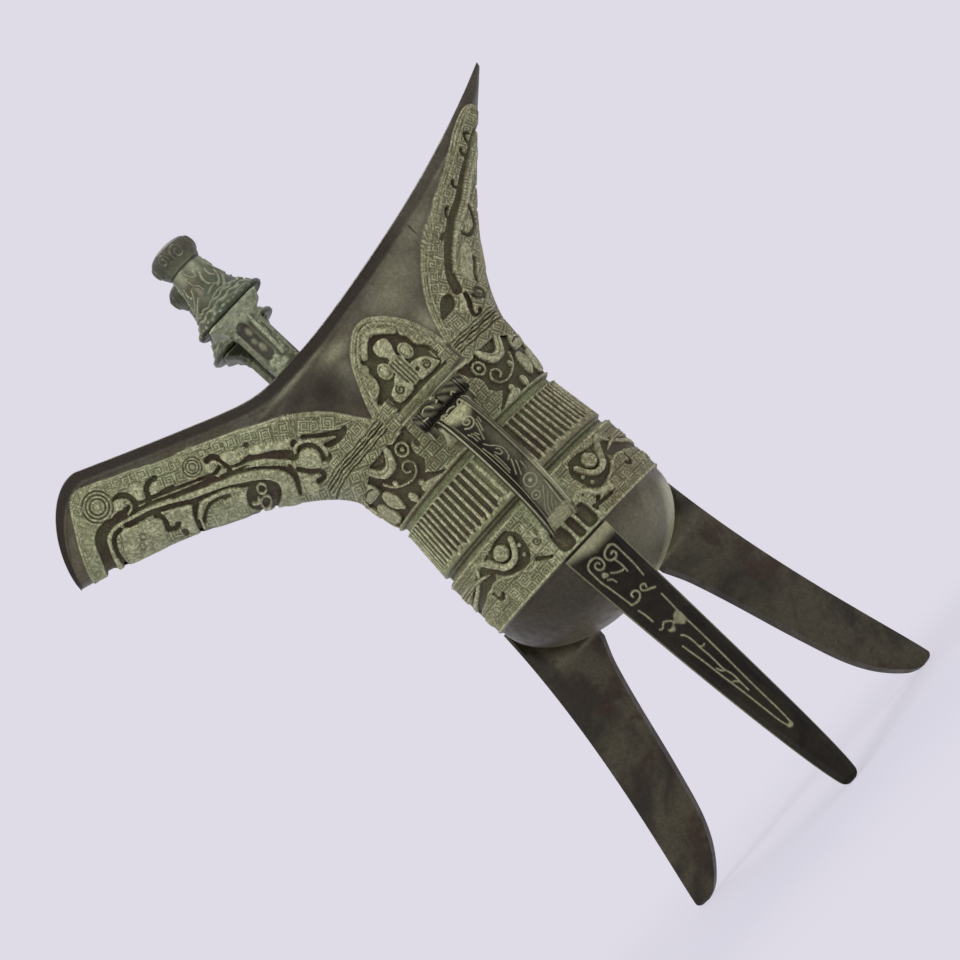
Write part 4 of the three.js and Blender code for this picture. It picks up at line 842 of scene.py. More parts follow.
# Relief of the bands round the bowl: a is the distance round it from the middle of the handle
def drawUpperSide(s, side):
    # shapes of the band on one side of the handle, cast from one mask for both
    at = onSide(side)
    field = [
        (9.6, 144.0), (13, 143.5), (16, 143.3), (17.5, 145), (18.6, 145.6), (21, 144.4), (23, 143.9), (25, 144),
        (27, 144.8), (28.5, 146), (33, 146), (40, 144.5), (47, 143), (47, 129), (34, 128.7), (11, 128.5),
        (12.5, 129.2), (14, 130.2), (16, 132), (14.5, 132.8), (12.9, 134.5), (13.6, 137), (13, 139),
        (11.6, 140),
    ]
    hollow(s, at(field), 0.75, sharp=True, dark=0.9)
    stroke(s, at([(9.4, 144.1), (13, 143.6), (16, 143.4), (17.5, 145), (18.6, 145.7), (21, 144.6), (23, 144.1),
                  (25, 144.2), (27, 145), (28.5, 146.2)]), 0.5, height=0.4, pale=0.6)
    # crescent horn
    block(s, at([(29.7, 145.6), (27.5, 144), (25.5, 142), (24, 141), (22, 141), (20.5, 142.2), (19, 144),
                 (17.9, 144.2), (17.6, 142.6), (18.7, 140.3), (20, 138.7), (22, 138.2), (25, 138.6),
                 (26.6, 139.7), (28.5, 141.5), (30.4, 144)]), height=0.5, dome=0.4, pale=0.95)
    cut(s, at([(28.6, 143.6), (26.4, 141.4), (24.4, 140), (22.2, 139.9), (20.6, 140.7), (19.2, 142.6)]), 0.35,
        depth=-0.55, dark=0.4)
    ring(s, (side * 15.2, 140.3), 1.8, 0.7, height=0.2, pale=0.7)
    dot(s, (side * 15.2, 140.3), 0.7, height=0.1, pale=0.5)
    stroke(s, at([(28, 138.2), (26.2, 135.7), (23.4, 134.1), (20.6, 133.3), (18.4, 133.4), (16.7, 134.3),
                  (15.9, 135.8), (16.6, 137.2), (18, 137.7), (19.4, 136.9), (19.6, 135.6), (18.6, 135)]), 0.6,
           height=0.1, pale=0.75)
    dot(s, (side * 24.8, 135.9), 0.75, 1.4, height=0.1, pale=0.6)
    dot(s, (side * 24.6, 130.2), 1.25, 1.3, height=0.3, pale=0.55)
    dot(s, (side * 18.9, 131), 0.9, height=0.35, pale=0.6)
    block(s, at([(20.4, 130.2), (18, 130.4), (15.4, 129.6), (13, 128.4), (20, 128.4)]), height=0.2, pale=0.5)
    dot(s, (side * 31, 133.6), 2.7, 1.35, height=0.2, pale=0.4)
    curl(s, (side * 31, 134), 2.3, 1.4, 20, 0.6, way=-side, height=0.4, pale=0.6)
    cut(s, at([(33.8, 132.9), (33, 131.4), (31.4, 130.4)]), 1.1)
    block(s, at([(31, 138.2), (33, 141.4), (37, 142), (41, 141.2), (41.5, 138.6), (36, 137.8)]), height=0.3,
          pale=0.6)
    cut(s, at([(32.6, 139.8), (36, 140.4), (40.6, 140)]), 0.45, depth=-0.1, dark=0.5)
    block(s, at([(36, 129.4), (35, 132.4), (36.4, 135.8), (40, 136.4), (43, 134), (42.4, 130)]), height=0.25,
          pale=0.5)
    curl(s, (side * 39, 133), 2.0, 1.3, 200, 0.6, way=-side, height=0.5, pale=0.7)
    dot(s, (side * 45.6, 136.6), 1.6, 1.6, height=0.25, pale=0.5)
    stroke(s, at([(44.4, 143), (44.8, 140.4), (47, 139)]), 1.0, height=0.3, pale=0.5)


def drawUpperBand(s):
    a, b = s["a"], s["b"]
    band = (b > cup["upperBandFootZ"]) & (b < cup["upperBandTopZ"])
    s["fine"][band], s["bare"][band] = 1, 0
    s["brown"][band] = (0.45 + 0.25 * np.sin(0.21 * a + 1))[band]
    for z in (144.2, 128.5):
        stroke(s, [(-48, z), (48, z)], 0.6, height=0.35, straight=True, pale=0.6)
    for side in (-1, 1):
        drawUpperSide(s, side)
    # golden hatching inside the horns
    for side in (-1, 1):
        horn = [(26.6, 144.2), (25.4, 142.9), (23.4, 141.8), (21.6, 142), (20.2, 143.4), (21.2, 144), (24.6, 143.5)]
        block(s, onSide(side)(horn), height=-0.35, dome=0.1, dark=0.55, pale=0.3)
        for step in range(4):
            u = side * (21.6 + step * 1.2)
            cut(s, [(u, 143.8), (u, 142)], 0.35, depth=0.5, straight=True, dark=0.9)
    # quiet middle, behind the handle at the front
    block(s, [(-5.6, 128.6), (-5.6, 143.6), (5.6, 143.6), (5.6, 128.6)], height=0.15, dome=0, sharp=True, fine=0,
          pale=0)
    stroke(s, [(0, 129), (0, 143.4)], 1.3, height=0.6, dome=0.3, straight=True, pale=0.5)
    for z in (131.5, 135, 138.5, 142):
        cut(s, [(-0.8, z), (0.8, z)], 0.5, depth=-0.1, straight=True, dark=0.6)
    cut(s, [(-11, 138.2), (-11, 143.8)], 1.5, depth=0.4, straight=True, dark=0.6)


def drawRibs(s):
    a, b = s["a"], s["b"]
    pitch = 2 * math.pi * cup["radius"] / cup["ribs"]
    share = np.abs((a / pitch + 0.5) % 1 - 0.5) * pitch
    rib = 1 - smooth(0.3, 0.7, share)
    crest = 1 - smooth(0.12, 0.42, np.abs(share - 0.1))
    inBand = smooth(111.8, 113.0, b + 0.5 * np.sin(2.7 * a)) * (1 - smooth(125.0, 125.5, b))
    calm = smooth(5.5, 9.0, np.abs(a))
    ground = (b > cup["ribFootZ"]) & (b < cup["ribTopZ"])
    patchy = 0.7 + 0.3 * np.sin(1.9 * a + 0.3 * b)
    s["bare"][ground] = 0
    s["height"][ground] = (-0.62 * inBand * (1 - rib) * (0.4 + 0.6 * calm))[ground]
    # the gaps between the ribs are darkened, partly as painted shade, less near the handle and towards the right
    s["dark"][ground] = (0.62 * inBand * (1 - rib) * (0.35 + 0.65 * calm) * (1 - 0.25 * smooth(4, 20, a)))[ground]
    # the pale line on one side of each rib is a painted highlight, patchy along the band
    s["pale"][ground] = (0.95 * crest * inBand * patchy)[ground]
    s["brown"][ground] = (0.2 + 0.6 * smooth(0, 12, a))[ground]
    stroke(s, [(-95, 125.5), (95, 125.5)], 0.45, height=0.15, straight=True, pale=0.85, soft=0.15)
    # worn crumbs along the feet of the ribs
    for n in range(-30, 31):
        crumb = (n * 1.21 + 0.4 * math.sin(7 * n), 112.2 + 0.5 * math.sin(5 * n))
        dot(s, crumb, 0.45 + 0.15 * math.sin(3 * n), height=-0.05, dome=0.2, pale=0.75 + 0.2 * math.sin(4 * n))


def drawLowerSide(s, side):
    at = onSide(side)
    # dark hollow round the crescent
    hollow(s, at([(10.2, 103.4), (10.7, 100.6), (11.6, 98), (13.2, 96.6), (15.2, 96.3), (18, 97), (20.4, 98),
                  (22.6, 99.8), (24, 102), (24.6, 104), (22.5, 105.4), (19, 105.9), (14, 106.1),
                  (11.6, 105.6)]), 0.75, dark=0.95)
    hollow(s, at([(24.6, 104.4), (23.4, 101), (26, 99.2), (30, 99.3), (35, 98.2), (41, 97.6), (46, 97.4),
                  (46, 100), (40, 101), (34, 102.6), (29, 104)]), 0.6, dark=0.85)
    # crescent with its spiral eye
    stroke(s, at([(12.5, 104), (13.2, 102.4), (14.4, 100.7), (16, 99.6), (17.8, 99.5), (19.6, 100.2),
                  (20.9, 101.9), (22, 103.7)]), (1.5, 2.2), height=0.45, dome=0.5, pale=0.95)
    stroke(s, at([(20.7, 101.7), (22.2, 103.3), (23.6, 105.1), (25.4, 106.2), (27, 106)]), (2.1, 1.6),
           height=0.3, dome=0.4, pale=0.35, dark=0.25)
    dot(s, (side * 17.3, 103.2), 2.5, 0.9, height=0.35, dome=0.1, pale=0.35)
    curl(s, (side * 17.3, 103.2), 2.1, 1.9, 100, 0.42, way=side, height=0.65, dome=0.1, pale=0.7)
    cut(s, at([(12.2, 106), (14.6, 106.2), (17.4, 105.9)]), 0.8)
    cut(s, at([(18.6, 105.4), (19.8, 104.4)]), 0.8)
    stroke(s, at([(26, 106), (28.5, 103.2), (31, 102.4), (34, 101.2), (40, 100), (46, 99)]), (0.8, 1.6),
           height=0.2, pale=0.55)
    for u, z in ((12.2, 101.2), (13.1, 98.6)):
        dot(s, (side * u, z), 0.6, height=0.1, pale=0.6)
    block(s, at([(24.6, 101.6), (28, 103.2), (34, 104), (41, 104.2), (46, 104), (46, 101.6), (38, 102),
                 (30, 102.4)]), height=0.3, dome=0.15, pale=0.45)
    for z in (102.6, 103.4):
        cut(s, at([(28, z - 0.2), (34, z), (46, z)]), 0.35, depth=-0.05, dark=0.5)
    # field of square spirals below, with its wavy pale upper edge
    stroke(s, at([(12.4, 94.4), (15, 94.6), (17, 96.1), (20, 97.2), (23, 98.8), (26, 99.4), (28.6, 98.6)]), 0.6,
           height=0.4, pale=0.8)
    cut(s, at([(29.2, 97.6), (29.2, 96), (27.8, 95.3), (26.5, 96)]), 1.1)
    leiwen(s, (side * 18.3, 94.2), 1.9)
    leiwen(s, (side * 21.2, 106.2), 1.5, 45)
    leiwen(s, (side * 23.4, 93.6), 1.7)
    # column beside the foot of the handle
    block(s, at([(5.2, 91), (5.4, 98.4), (7.2, 99.6), (6.4, 102), (7.6, 104.4), (9.6, 102.6), (9.8, 99.8),
                 (10.6, 97), (9.4, 95), (9.6, 91)]), height=0.35, dome=0.15, fine=0.7, pale=0.45)
    cut(s, at([(11.6, 95.4), (10.2, 94.2), (8.4, 93)]), (1.1, 0.7))
    curl(s, (side * 8.2, 98.6), 1.2, 1.3, 0, 0.4, way=side, height=0.2, dome=0, dark=0.6, pale=0)
    for u in (32.5, 36.2, 40.1, 44):
        dot(s, (side * u, 94.2), 1.5, height=0.3, dome=0.15, pale=0.5)
        ring(s, (side * u, 94.2), 0.9, 0.4, height=0.2, dome=0, dark=0.4, pale=0)


def drawLowerBand(s):
    a, b = s["a"], s["b"]
    band = (b > 89.9) & (b < 108.4)
    s["fine"][band], s["bare"][band] = 1, 0
    stroke(s, [(-95, 107.5), (95, 107.5)], 0.55, height=0.2, straight=True, pale=0.8)
    stroke(s, [(-95, 90.4), (95, 90.4)], 0.6, height=0.2, straight=True, pale=0.7)
    for side in (-1, 1):
        drawLowerSide(s, side)
    # the right side of the front differs: a toothed arm runs below the crescent
    stroke(s, [(5, 98.5), (8, 99.3), (10, 97.8), (11.7, 95.8), (14, 95), (15.6, 94.4)], (1.2, 1.7), height=0.45,
           dome=0.4, pale=0.9)
    cut(s, [(8.3, 93.9), (11, 93.4), (14.6, 93.1)], 0.9)
    block(s, [(-6, 90.6), (-6, 107), (7, 107), (7, 90.6)], height=0.15, dome=0, sharp=True, fine=0, pale=0.25)
    for low, high in ((-5.4, -1.4), (-0.1, 2.2), (3.3, 6.8)):
        hollow(s, [(low, 91.4), (low + 0.3, 96.9), (high - 0.2, 97.1), (high, 91.2)], 0.5, dark=0.6)
    for u in (-0.8, 2.75):
        stroke(s, [(u, 91), (u + 0.1, 94), (u, 97.4)], 0.8, height=0.2, pale=0.7)
    stroke(s, [(-6, 98.6), (-2, 99), (2, 98.7), (7, 98.4)], 2.2, height=0.25, dome=0.2, pale=0.75)
    s["brown"][band] = ((0.35 + 0.4 * smooth(4, 14, a)) * smooth(6, 8, np.abs(a)))[band]


def drawWallTones(s):
    # light and dark on the plain wall between the panels, as it mirrors the room
    for centre, reach, amount in (
        ((-17, 165), (5.5, 6.5), 1), ((-23, 169), (6, 2.6), 0.8), ((-13.5, 157), (2.2, 5), 0.6),
        ((-30, 172), (7, 1.6), 0.6),
    ):
        paintedLightPatch(s, centre, reach, amount, "dark")
    for centre, reach, amount in (
        ((-22, 172.9), (9, 0.6), 0.75), ((-13, 173.2), (4, 0.6), 0.5), ((-8.5, 170), (4.5, 2.0), 0.5),
        ((-9.5, 165.5), (2, 3), 0.25), ((12, 170), (6, 5), 0.32), ((18, 173), (8, 6), 0.25),
        ((14.5, 158), (2.4, 4), 0.4), ((30, 180), (9, 5), 0.28), ((45, 187), (9, 4), 0.3),
        ((58, 193), (8, 3), 0.28),
    ):
        paintedLightPatch(s, centre, reach, amount)


def drawEggTones(s, spots):
    # painted shade, darker on the spout's side; painted cream highlight where the blades of the two back legs are
    # joined on
    x, y, z = (spots[..., k].ravel() for k in range(3))
    egg = z < 89.6
    s["dark"] = np.where(egg, 0.75 * smooth(6, -14, s["a"]) * smooth(74, 80, z), s["dark"])
    half = legHalf(np.clip(z, 0, cup["bandFootZ"]))
    for angle, amount in ((30, 1.0), (150, 0.45)):
        cosA, sinA = math.cos(math.radians(angle)), math.sin(math.radians(angle))
        away = x * cosA + y * sinA
        beside = np.clip(np.abs(y * cosA - x * sinA) - half, 0, None)
        glow = np.exp(-(beside / 1.5) ** 2) + 0.35 * np.exp(-beside / 5)
        s["pale"] = np.where(egg & (away > 8), np.maximum(s["pale"], amount * np.clip(glow, 0, 1)), s["pale"])
    # painted sheen low on the tail side
    s["pale"] = np.where(egg & (s["a"] > 8), np.maximum(s["pale"], 0.17 * smooth(89, 83, z)), s["pale"])
    # painted highlight along the tail-side edge of the bottom, on the handle's side
    edge = 0.85 * smooth(6.5, 1.5, np.hypot(x, y) - x) * smooth(89, 84, z) * smooth(3, -4, y)
    s["pale"] = np.where(egg, np.maximum(s["pale"], edge), s["pale"])


# The wall's rows from its foot or keel over the lip and down inside, for a run of columns
def wallSkin(outer, inner, shares, rowsInside, innerEnd):
    (xOut, yOut, zOut), (xIn, yIn, zIn) = outer, inner
    outside = np.array([wallPoint(xOut, yOut, zOut, share, 0) for share in shares])
    innerShares = np.linspace(1, innerEnd, rowsInside)
    inside = np.array([wallPoint(xIn, yIn, zIn, share, cup["wall"]) for share in innerShares])
    top = topHeight(xOut)
    room = np.minimum(cup["lipHeight"], (top - zOut) * 0.3)
    lip = smooth(-0.7, 0.0, outside[..., 2] - (top - room)) * np.clip(room / cup["lipHeight"], 0, 1)
    outward = np.array([0, -1, 0]) * cup["lipOut"]
    outside = outside + lip[..., None] * outward
    edge = outside[-1].copy()
    # the rim is rounded below its own height
    over = []
    for k in (0.04, 0.14, 0.3, 0.5, 0.7, 0.86, 0.96):
        row = edge + (inside[0] - edge) * k
        row[:, 2] += cup["lipRound"] * (1 - abs(2 * k - 1) ** 3) - cup["lipRound"]
        over.append(row)
    outside[-1][:, 2] -= cup["lipRound"]
    outside[-2][:, 2] = np.minimum(outside[-2][:, 2], outside[-1][:, 2])
    inside[0][:, 2] -= cup["lipRound"]
    return outside, np.array(over), inside


def roundRows(turn, radii, heights):
    x = np.sin(turn)[None] * np.array(radii)[:, None]
    y = -np.cos(turn)[None] * np.array(radii)[:, None]
    return np.stack(np.broadcast_arrays(x, y, np.array(heights, float)[:, None]), -1)


def quarterEgg(radius, bottomZ, count):
    angle = np.linspace(0, np.pi / 2, count)
    return radius * np.sin(angle), cup["bandFootZ"] - (cup["bandFootZ"] - bottomZ) * np.cos(angle)


def levels(*parts):
    # heights of a skin's rows: (first, last, count) of each part
    return np.concatenate([np.linspace(*part) for part in parts])


def halfCircle(radius):
    return radius * np.sin(bodyTurn), radius * np.cos(bodyTurn), np.full(len(bodyTurn), cup["neckZ"])


# the front half of the round body, with eight columns for each rib; the other half is its mirror image
bodyTurn = np.linspace(-np.pi / 2, np.pi / 2, cup["ribs"] * 4 + 1)
bodyOuter, bodyInner = halfCircle(cup["radius"]), halfCircle(cup["radius"] - cup["wall"])
profileZ, profileR = np.array(cup["profile"]).T
mouthStart = 0.2   # share of the wall's height that belongs to the neck's skin


def makeBowl():
    # egg bottom, lower band, groove and ribs, and the hollow inside
    eggR, eggZ = quarterEgg(cup["radius"], cup["bottomZ"], 20)
    bandZ = levels((89.6, 108.2, 64), (108.35, 110.4, 8), (cup["ribFootZ"], 125.8, 40), (125.95, cup["cutZ"], 5))
    outside = roundRows(bodyTurn, [*eggR, *np.interp(bandZ, profileZ, profileR)], [*eggZ, *bandZ])
    innerR, innerZ = quarterEgg(cup["innerRadius"], cup["bottomZ"] + cup["wall"], 14)
    inside = roundRows(bodyTurn, [*[cup["innerRadius"]] * 3, *innerR[::-1]], [cup["cutZ"], 115, 100, *innerZ[::-1]])
    s = newSheet(bodyTurn * cup["radius"], outside[..., 2])
    s["bare"][:] = 1
    leiwenGround(s, 0, (0.45, 0.0))
    drawLowerBand(s)
    drawRibs(s)
    grooves = ((s["b"] > 108.3) & (s["b"] < 110.4)) | (s["b"] > cup["ribTopZ"])
    s["dark"][grooves], s["bare"][grooves] = 0.2, 0
    s["dark"] = np.maximum(s["dark"], 0.9 * np.exp(-((s["b"] - 109.3) / 0.45) ** 2))
    drawEggTones(s, outside)
    finishPiece(skinMesh(np.vstack([outside, inside]), s), "bowlSkin", ["cup_body"], "patinated_bronze", 80)


def makeNeck():
    # upper band and the foot of the wall over it
    neckZ = levels((cup["cutZ"], cup["upperBandFootZ"], 4), (128.2, 138.2, 34))
    wallFoot = [wallPoint(*bodyOuter, share, 0) for share in np.linspace(0, mouthStart, 27)]
    outside = np.vstack([roundRows(bodyTurn, np.interp(neckZ, profileZ, profileR), neckZ), wallFoot])
    inside = [wallPoint(*bodyInner, share, cup["wall"]) for share in np.linspace(mouthStart, 0, 6)]
    throatZ = np.linspace(137, cup["cutZ"], 6)
    throat = roundRows(bodyTurn, np.interp(throatZ, [127.9, 138.5], [cup["innerRadius"], 27.0]), throatZ)
    s = newSheet(bodyTurn * cup["radius"], outside[..., 2])
    leiwenGround(s, 0, (0.45, 0.1))
    drawUpperBand(s)
    groove = s["b"] < cup["upperBandFootZ"]
    s["dark"][groove] = 0.85 * smooth(127.2, 127.9, s["b"][groove])
    s["fine"][groove] = 0
    # above the band the panels are drawn along X instead of round the body
    over = s["b"] > cup["upperBandTopZ"]
    bandTurn = {key: s[key].copy() for key in ("turnA", "turnB")}
    s["a"] = np.where(over, outside[..., 0].ravel(), 0)
    s["b"] = np.where(over, s["b"], -1000)
    panelGround(s)
    for key, value in bandTurn.items():
        s[key] = np.where(over, s[key], value)
    drawPanels(s)
    spots = np.vstack([outside, inside, throat, outside[:1]])
    finishPiece(skinMesh(spots, s), "neckSkin", ["cup_body"], "patinated_bronze", 80)


def dressWall(name, node, outer, inner, shares, rowsInside, innerEnd=0.0, tipped=True):
    outside, lipRows, inside = wallSkin(outer, inner, shares, rowsInside, innerEnd)
    s = newSheet(outside[..., 0], outside[..., 2])
    panelGround(s)
    drawPanels(s)
    below = np.broadcast_to(topHeight(outer[0]), outside.shape[:2]).ravel() - s["b"]
    rimTone = (1 - smooth(2.9, 3.8, below)) * s["bare"] * (1 - 0.35 * smooth(15, 40, s["a"]))
    drawWallTones(s)
    s["pale"] *= 1 - rimTone
    s["dark"] = np.maximum(s["dark"], rimTone)
    spots = np.vstack([outside, lipRows, inside])
    if tipped:
        # one more column, drawn together in the middle of the last
        middle = spots[:, -1].mean(axis=0) * np.array([1, 0, 1])
        spots = np.concatenate([spots, np.broadcast_to(middle, (len(spots), 1, 3))], axis=1)
        for key in sheetKeys:
            grid = s[key].reshape(s["shape"])
            s[key] = np.hstack([grid, grid[:, -1:]]).ravel()
        s["shape"] = (s["shape"][0], s["shape"][1] + 1)
    finishPiece(skinMesh(spots, s), name, [node], "patinated_bronze", 80)


def keelColumns(keel, count, end=None):
    outerX, outerZ = bezier(keel(0), evenly(keel(0), count)).T
    innerX, innerZ = bezier(keel(cup["wall"]), evenly(keel(cup["wall"]), count)).T
    if end is not None:
        # past the end of the channel the solid tip closes over the middle
        share = np.clip((outerX - outerX[0]) / (end - outerX[0]), 0, 1)
        innerX = innerX[0] + (innerX[-1] - innerX[0]) * share
        innerZ = heightAt(keel(cup["wall"]), innerX)
        innerX = np.where(outerX > end, outerX, innerX)
        innerZ = np.where(outerX > end, 400.0, innerZ)   # over the rim, so these rows lie on top
    return (outerX, 0 * outerX, outerZ), (innerX, 0 * innerX, innerZ)


makeBowl()
makeNeck()
wallShares = np.concatenate([np.linspace(mouthStart, 0.84, 86), np.linspace(0.84, 1, 14)[1:]])
dressWall("mouthSkin", "cup_body", bodyOuter, bodyInner, wallShares, 20, mouthStart, False)
for name, piece, keel, end in (
    ("spout", spout, spoutKeel, None), ("tail", tail, tailKeel, tail["tipX"] - tail["solidTip"]),
):
    columns = keelColumns(keel, piece["columns"], end)
    dressWall(name + "Skin", name, *columns, np.linspace(0, 1, piece["rows"]), piece["rowsInside"])
print("vessel skins made")


def readAt(points, z):
    # radius of a leg's curve at a height
    return heightAt([(b, a) for a, b in points], z)


def eggRadius(z):
    drop = np.clip((cup["bandFootZ"] - z) / (cup["bandFootZ"] - cup["bottomZ"]), 0, 1)
    return cup["radius"] * np.sqrt(1 - drop ** 2)


def legSpots(faceRows, slim):
    # the leg that points along -Y, and the middle line that its skin goes round
    z = leg["topZ"] * np.linspace(0, 1, leg["columns"]) ** 1.15   # closer together at the foot
    underFoot = leg["footRound"] * (1 - np.sqrt(1 - (1 - np.clip(z / leg["footRound"], 0, 1)) ** 2))
    outer = readAt(leg["outer"], z)
    ridge = np.minimum(readAt(leg["ridge"], np.minimum(z, cup["bottomZ"])), outer - leg["footLength"])
    ridge = np.where(z > cup["bottomZ"], np.maximum(ridge, eggRadius(z) - 1.2), ridge) + underFoot
    ridge = ridge + slim * smooth(8, 30, z) * smooth(cup["bottomZ"] + 4, cup["bottomZ"] - 8, z)
    half = legHalf(z)
    blunt = np.minimum(leg["edge"], half / 2)
    outer, half = outer - underFoot, half - underFoot * 0.8
    side = np.maximum(outer - leg["edge"] - underFoot / 2, ridge)
    rows = []
    for k in np.linspace(-1, 1, faceRows):
        drop = leg["bevelDrop"] * smooth(half - leg["bevel"], half, np.abs(k) * half)
        rows.append((k * half, outer - drop))
    flank = (half * 0.8 + blunt * 0.2, side + (ridge - side) * 0.3)
    back = [(half, side), flank, (blunt, ridge)]
    rows += back + [(-x, r) for x, r in back[::-1]] + rows[:1]
    spots = np.array([np.stack([x, -np.broadcast_to(r, x.shape), z], -1) for x, r in rows])
    core = np.stack([0 * z, -(outer + ridge) / 2, z], -1)
    return spots, core


def drawLegInlay(s):
    inlay = {"height": 0.12, "dome": 0.08, "pale": 0.38, "bare": 0.5, "soft": 0.16}
    for line in (
        [(-5, 82.5), (-5.1, 79), (-4.8, 77), (-4.4, 73), (-4.1, 69.5)],
        [(-4, 67.2), (-3.7, 65.5), (-3.6, 62.8)],
        [(4.5, 82.4), (4.4, 80), (4.2, 76), (3.7, 72.6)],
        [(3.2, 66), (3, 63), (2.8, 60.8), (2.6, 57), (2.5, 53), (2.2, 47), (1.9, 42), (1.5, 36), (1.2, 30),
         (0.9, 24), (0.5, 20.6)],
        [(-3.2, 53), (-2.9, 50), (-2.5, 46), (-2.2, 41), (-1.7, 35), (-1.3, 28), (-1, 23), (-0.5, 20.4)],
        [(-1.4, 55.2), (-0.7, 54.2), (-0.4, 52), (-0.5, 49.5), (-0.4, 47), (-0.5, 44), (-0.6, 41.6), (-0.1, 39),
         (-0.3, 36), (-0.4, 33.6)],
        [(-0.2, 49.7), (0.3, 49.3), (0.9, 49.5)],
        [(-1.7, 43), (-1.3, 41.8), (-0.7, 41.2)],
        [(-1.5, 37.8), (-0.9, 37.4), (-0.4, 36.6)],
        [(-1.6, 79), (-0.6, 78.1), (0.5, 77.5), (1.5, 77.3)],
        [(1.7, 80.6), (1.9, 78.6), (1.7, 76.2)],
        [(-3.5, 78.3), (-2.6, 77.7), (-2.3, 76.4)],
        [(-4, 60), (-3.2, 59.8), (-2, 60.6), (-1, 60.1), (-0.2, 59.2)],
    ):
        stroke(s, line, 0.36, **inlay)
    # the curls, larger at the top and small half way up
    for width, line in (
        (0.46, [(-5, 82.6), (-4.9, 83.5), (-4.3, 84.4), (-3.1, 84.9), (-1.9, 84.8), (-1, 84.1), (-0.7, 83),
                (-1, 81.8), (-1.9, 81.2), (-2.9, 81.5), (-3.3, 82.5), (-2.8, 83.4), (-2, 83.3), (-1.8, 82.7)]),
        (0.46, [(4.5, 82.4), (4.3, 83.5), (3.5, 84.2), (2.2, 84.1), (1, 83.6), (0.4, 82.6), (0.6, 81.5),
                (1.6, 80.9), (2.7, 81), (3.2, 81.8), (2.8, 82.5), (2.1, 82.3)]),
        (0.44, [(-4.2, 69.6), (-3.2, 69.2), (-2, 69.1), (-1, 69.5), (-0.4, 70.3), (-0.6, 71.2), (-1.4, 71.7),
                (-2.2, 71.4), (-2.3, 70.7)]),
        (0.44, [(3.4, 68.3), (2.4, 68.9), (1.3, 69.4), (0.5, 70.2), (0.8, 71), (1.5, 71.2), (2.2, 70.7),
                (1.9, 70)]),
    ):
        stroke(s, line, width, **inlay)
    for shape in (
        [(-3.9, 79.6), (-3.4, 80.5), (-2.7, 80.3), (-2.2, 79.2), (-3, 78.9)],
        [(-0.5, 58.9), (0.4, 59.3), (1.2, 60.1), (2.8, 60.2), (2.8, 57.2), (1.3, 56.6), (0.3, 57.9), (-0.5, 58.4)],
        [(-2.7, 58.4), (-1.6, 58.2), (-0.7, 58.5), (-1.2, 57.2), (-2.2, 57.3)],
        [(-0.8, 20.8), (0.8, 20.8), (0.5, 19.8), (-0.5, 19.8)],
    ):
        block(s, shape, **{**inlay, "soft": 0.2})
    # green smudge under the band
    s["pale"] = np.maximum(s["pale"], 0.62 * smooth(84.6, 88.0, s["b"] + 0.35 * s["a"] * (s["a"] < 0)))


def makeLeg(name, angle, slot, inlaid=False):
    # the inlaid leg has fine rows on its outer face; the plain ones carry their tones all round
    spots, core = legSpots(*(leg["faceRows"], 0) if inlaid else (leg["plainRows"], leg["backSlim"]))
    face = spots[:leg["faceRows"]] if inlaid else spots
    s = newSheet(face[..., 0], face[..., 2])
    s["bare"][:] = 1
    if inlaid:
        drawLegInlay(s)
        # pale along both edges of the face: a painted highlight
        edge = np.abs(np.linspace(-1, 1, len(face)))[:, None] > 0.955
        s["pale"] = np.maximum(s["pale"], (0.28 * np.broadcast_to(edge, face.shape[:2])).ravel())
    else:
        # cream sheen where the blade leaves the bowl
        drop = np.clip(cup["bandFootZ"] - face[..., 2], 0, None) / (cup["bandFootZ"] - cup["bottomZ"])
        rise = np.hypot(np.hypot(face[..., 0], face[..., 1]) / cup["radius"], drop) - 1
        s["pale"] = (0.5 * np.exp(-(np.abs(rise) / 0.035) ** 2)).ravel()
    bm = skinMesh(spots, s, False, np.broadcast_to(core, face.shape))
    bmesh.ops.rotate(bm, verts=bm.verts, matrix=Matrix.Rotation(math.radians(angle), 3, "Z"))
    finishPiece(bm, name + "Skin", [name], slot, 40)


makeLeg("leg_front", 0, "dark_bronze", True)
makeLeg("leg_tail_side", 120, "olive_bronze")
makeLeg("leg_spout_side", 240, "olive_bronze")
print("legs made")

# Handle: a bent strap with two rails, its ends let into the bowl and the animal head
strap = {
    "line": [(40, 134.9), (57, 135.9), (57, 102.1), (29, 98.1)],
    "width": 9.6, "thickness": 3.0, "railWidth": 1.3, "railHeight": 0.7, "faceRows": 57, "columns": 260,
}


